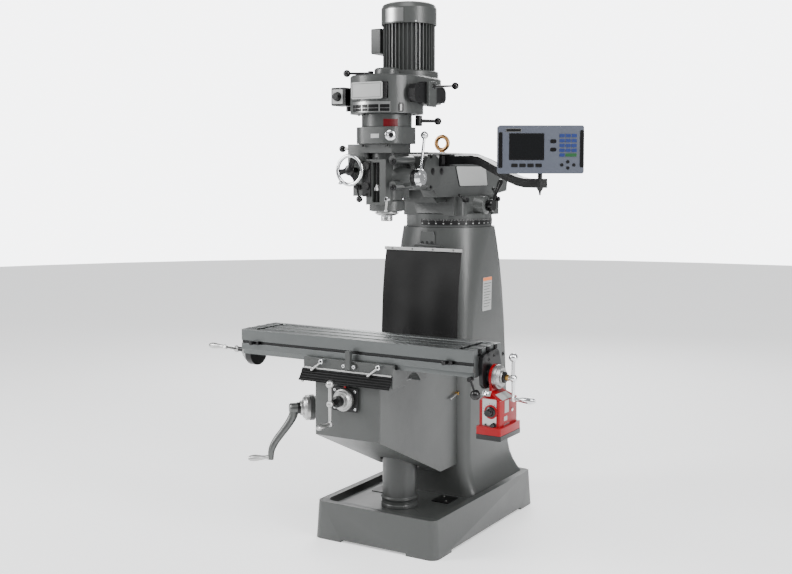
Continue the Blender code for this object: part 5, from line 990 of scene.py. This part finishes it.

# ---------------------------------------------------------------- table fittings
# A groove runs along the table's front edge and holds two black stops; a black strip laid in it is painted
# shade for the groove's dark inside. Rubber hooks close the T-slots at both ends, and screws hold the end
# brackets.

TABLE_FRONT_Y, TABLE_END_X = -0.8, 0.5335
GROOVE_Z, SLOTS_Y = 0.821, (-0.749, -0.6855, -0.622)
# Black strip in the front groove: painted shade, standing for the shadow inside the groove.
build("groove_shade_strip", "table", black_oxide,
      plate((0, TABLE_FRONT_Y + 0.0085, GROOVE_Z), FRONT, UP, 1.0665, 0.0118, 0.003, 0.0005))
for word, x in (("left", -0.456), ("right", 0.436)):
    build("table_stop_" + word, "table", black_plastic,
          plate((x, TABLE_FRONT_Y, GROOVE_Z), FRONT, UP, 0.034, 0.015, 0.011, 0.003),
          set_at(lathe([(0.0085, 0.01), (0.0085, 0.026), (0.007, 0.028)], 28),
                 (x - 0.012, TABLE_FRONT_Y, GROOVE_Z), FRONT, UP), edge=0.0008)
for side, word in ((1, "right"), (-1, "left")):
    hooks = [plate((side * TABLE_END_X, y, 0.864), (side, 0, 0), UP, 0.02, 0.016, 0.0045, 0.002)
             for y in SLOTS_Y]
    build("slot_hooks_" + word, "table", rubber, *hooks, edge=0.0006)

right_low, right_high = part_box("right_bracket")
left_low, left_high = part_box("left_bracket")
build("right_bracket_screws", "table", black_oxide,
      *[cap_screw((right_high.x, y, z), (1, 0, 0), 0.0075, 0.003)
        for y, z in ((-0.728, 0.833), (-0.6855, 0.842), (-0.612, 0.838))])
build("left_bracket_screws", "table", satin_metal,
      *[cap_screw((left_low.x, y, z), (-1, 0, 0), 0.0065, 0.003)
        for y, z in ((-0.735, 0.805), (-0.636, 0.805))])

# ---------------------------------------------------------------- rubber, belt and display case
# The belt is plain rubber. The display's case is painted blue-grey sheet metal, and both knobs are moulded.

console_paint = paint_finish("console_paint", (0.056, 0.063, 0.083), 0.4, 0.0001, 0.1, 0.4)
dressed("drive_belt", rubber, 0.0)
dressed("display_console", console_paint, 0.006, 3)
for name in ("switch_knob", "feed_knob"):
    dressed(name, black_plastic, 0.001, 2, 40)

# ---------------------------------------------------------------- power feed
# Red cast housing on a black foot. Its grey panel has a black knob on a red dial inside a printed scale, a
# switch and a plug; plain labels, a bright button and the black lead's end are on its right.

FEED_FACE = -0.76
KNOB_AT = np.array((0.5855, FEED_FACE, 0.648))
build("feed_foot", "table", black_plastic,
      set_at(slab(panel(0.1004, 0.1734, 0.006), 0, 0.019), (0.5831, -0.692, 0.5468), UP, (0, 1, 0)),
      edge=0.001)
build("feed_panel", "table", label_silver,
      plate((0.58, FEED_FACE, 0.638), FRONT, UP, 0.056, 0.112, 0.0007, 0.004))
build("feed_dial", "table", red_paint,
      set_at(lathe([(0.0262, -0.001), (0.0262, 0.0014), (0.0235, 0.003), (0.021, 0.003)], 44), KNOB_AT,
      FRONT, UP))
scale_marks = [plate(KNOB_AT + 0.03 * np.array((np.cos(t), 0, np.sin(t))), FRONT, (np.cos(t), 0, np.sin(t)),
                     0.0016, 0.0042, 0.0011, 0.0003) for t in np.radians(np.linspace(-20, 200, 12))]
build("feed_scale", "table", sign_dark, *scale_marks)
build("feed_plug", "table", black_plastic,
      set_at(lathe([(0.0105, -0.001), (0.0105, 0.004), (0.0085, 0.005), (0.0085, 0.012), (0.0068, 0.014)],
      28),
             (0.596, FEED_FACE, 0.5985), FRONT, UP),
      set_at(lathe([(0.0034, -0.001), (0.0034, 0.003)], 20), (0.565, FEED_FACE, 0.6), FRONT, UP))
SWITCH_AT, SWITCH_OUT = (0.566, -0.756, 0.713), (0, -0.85, 0.53)
build("feed_switch", "table", chrome,
      set_at(lathe([(0.0085, -0.001), (0.0085, 0.002), (0.006, 0.003), (0.0034, 0.0036), (0.0034, 0.012),
                    (0.0046, 0.016), (0.0024, 0.018)], 28), SWITCH_AT, SWITCH_OUT, UP))
build("feed_switch_plate", "table", label_silver,
      plate(SWITCH_AT, SWITCH_OUT, UP, 0.034, 0.02, 0.0008, 0.002))
build("feed_side_labels", "table", label_silver,
      *[plate((0.6205, y, z), (1, 0, 0), UP, width, height, 0.0008, 0.001)
        for y, z, width, height in ((-0.701, 0.662, 0.034, 0.046), (-0.71, 0.619, 0.026, 0.016),
                                    (-0.701, 0.588, 0.048, 0.022))])
build("feed_side_button", "table", chrome,
      set_at(lathe([(0.0075, -0.001), (0.0075, 0.0022), (0.005, 0.0036)], 28), (0.6205, -0.656, 0.643),
      (1, 0, 0),
             UP))
build("feed_slant_sign", "table", sign_white,
      plate((0.6029, -0.688, 0.6962), (0.535, 0, 0.845), (0, 0, 1), 0.086, 0.034, 0.0016, 0.004))

# ---------------------------------------------------------------- display
# Sheet-metal case turned towards the operator, with black end grips, a dark screen, four soft keys and a
# pad of blue and green keys. The badge over it is blank.

CONSOLE_AT = np.array((0.704, -0.606, 1.5101))
CONSOLE_TURN = np.radians(31.3)
CONSOLE_OUT = np.array((np.sin(CONSOLE_TURN), -np.cos(CONSOLE_TURN), 0))
CONSOLE_ALONG = np.array((np.cos(CONSOLE_TURN), np.sin(CONSOLE_TURN), 0))


def on_console(x, z, width, height, thick, radius, out=0.026):
    """Plate on the display's face, at a place given along the face and above its foot."""
    return plate(CONSOLE_AT + CONSOLE_ALONG * x + CONSOLE_OUT * out + np.array((0, 0, z)), CONSOLE_OUT, UP,
          width,
                 height, thick, radius)


key_blue = paint_finish("key_blue", (0.004, 0.017, 0.1), 0.3, 0.00001)
key_green = paint_finish("key_green", (0.003, 0.055, 0.012), 0.3, 0.00001)
screen_glass = Finish("screen_glass", (0.0015, 0.0018, 0.0022), 0.06)
screen_glass.feed("Roughness", 0.05 + 0.04 * screen_glass.noise(30, 2))
build("display_bezel", "display_console", black_plastic,
      on_console(-0.0525, 0.0975, 0.127, 0.097, 0.0016, 0.003), edge=0.0005)
build("display_screen", "display_console", screen_glass,
      on_console(-0.052, 0.098, 0.118, 0.086, 0.002, 0.002))
build("display_grips", "display_console", black_plastic,
      on_console(-0.1473, 0.0853, 0.015, 0.1285, 0.0022, 0.004),
      on_console(0.1478, 0.09, 0.015, 0.134, 0.0022,
                                                                            0.004), edge=0.0007)
build("display_badge", "display_console", label_silver,
      on_console(-0.1, 0.1568, 0.056, 0.0125, 0.0012, 0.002))
build("display_badge_face", "display_console", sign_dark,
      on_console(-0.1, 0.1568, 0.053, 0.0098, 0.0015, 0.0015))
build("soft_keys", "display_console", sign_dark,
      *[on_console(x, 0.03, 0.023, 0.013, 0.0018, 0.002) for x in (-0.0962, -0.0671, -0.038, -0.0088)],
      edge=0.0005)
build("oval_keys", "display_console", black_plastic,
      *[on_console(0.0437, z, 0.023, 0.0145, 0.002, 0.007) for z in (0.117, 0.087)], edge=0.0005)
build("number_keys", "display_console", key_blue,
      *[on_console(x, z, 0.019, 0.012, 0.002, 0.002) for x in (0.0754, 0.0972, 0.1191)
        for z in (0.1375, 0.1194, 0.1017, 0.0846)],
      on_console(0.0754, 0.0675, 0.019, 0.012, 0.002, 0.002), edge=0.0005)
build("enter_key", "display_console", key_green,
      on_console(0.1082, 0.0675, 0.04, 0.012, 0.002, 0.002), edge=0.0005)
build("arrow_keys", "display_console", sign_dark,
      *[on_console(x, z, 0.0124, 0.0124, 0.002, 0.0061) for x, z in ((0.0749, 0.0317), (0.0967, 0.0431),
                                                                     (0.1186, 0.0317), (0.0967, 0.0208))],
      edge=0.0005)

# ---------------------------------------------------------------- switch box and speed drive
# The switch has a pale front plate around its knob. A grey block and two screws sit on the black bracket of
# the speed lever.

PLATE_AT = (-0.1875, -0.604, 1.819)
build("switch_plate", "head", sign_white, plate(PLATE_AT, FRONT, UP, 0.05, 0.058, 0.0008, 0.004))
build("switch_dial", "head", sign_dark,
      set_at(lathe([(0.0195, -0.001), (0.0195, 0.0012)], 40), PLATE_AT, FRONT, UP))
build("switch_neck", "head", black_plastic,
      set_at(lathe([(0.011, 0), (0.011, 0.02)], 30), (-0.159, -0.564, 1.78), (0, 0, -1)))
build("speed_block", "head", grey_paint,
      set_at(slab(panel(0.062, 0.1, 0.006), 0, 0.012), (0.176, -0.485, 1.823), (1, 0, 0), UP), edge=0.0015)
build("speed_block_screws", "head", chrome, cap_screw((0.188, -0.485, 1.848), (1, 0, 0), 0.005, 0.0025))
build("speed_bracket_screws", "head", black_oxide,
      *[cap_screw((0.1764, y, z), (1, 0, 0), 0.007, 0.0011) for y, z in ((-0.575, 1.85), (-0.575, 1.806),
                                                                         (-0.39, 1.85), (-0.39, 1.806))])
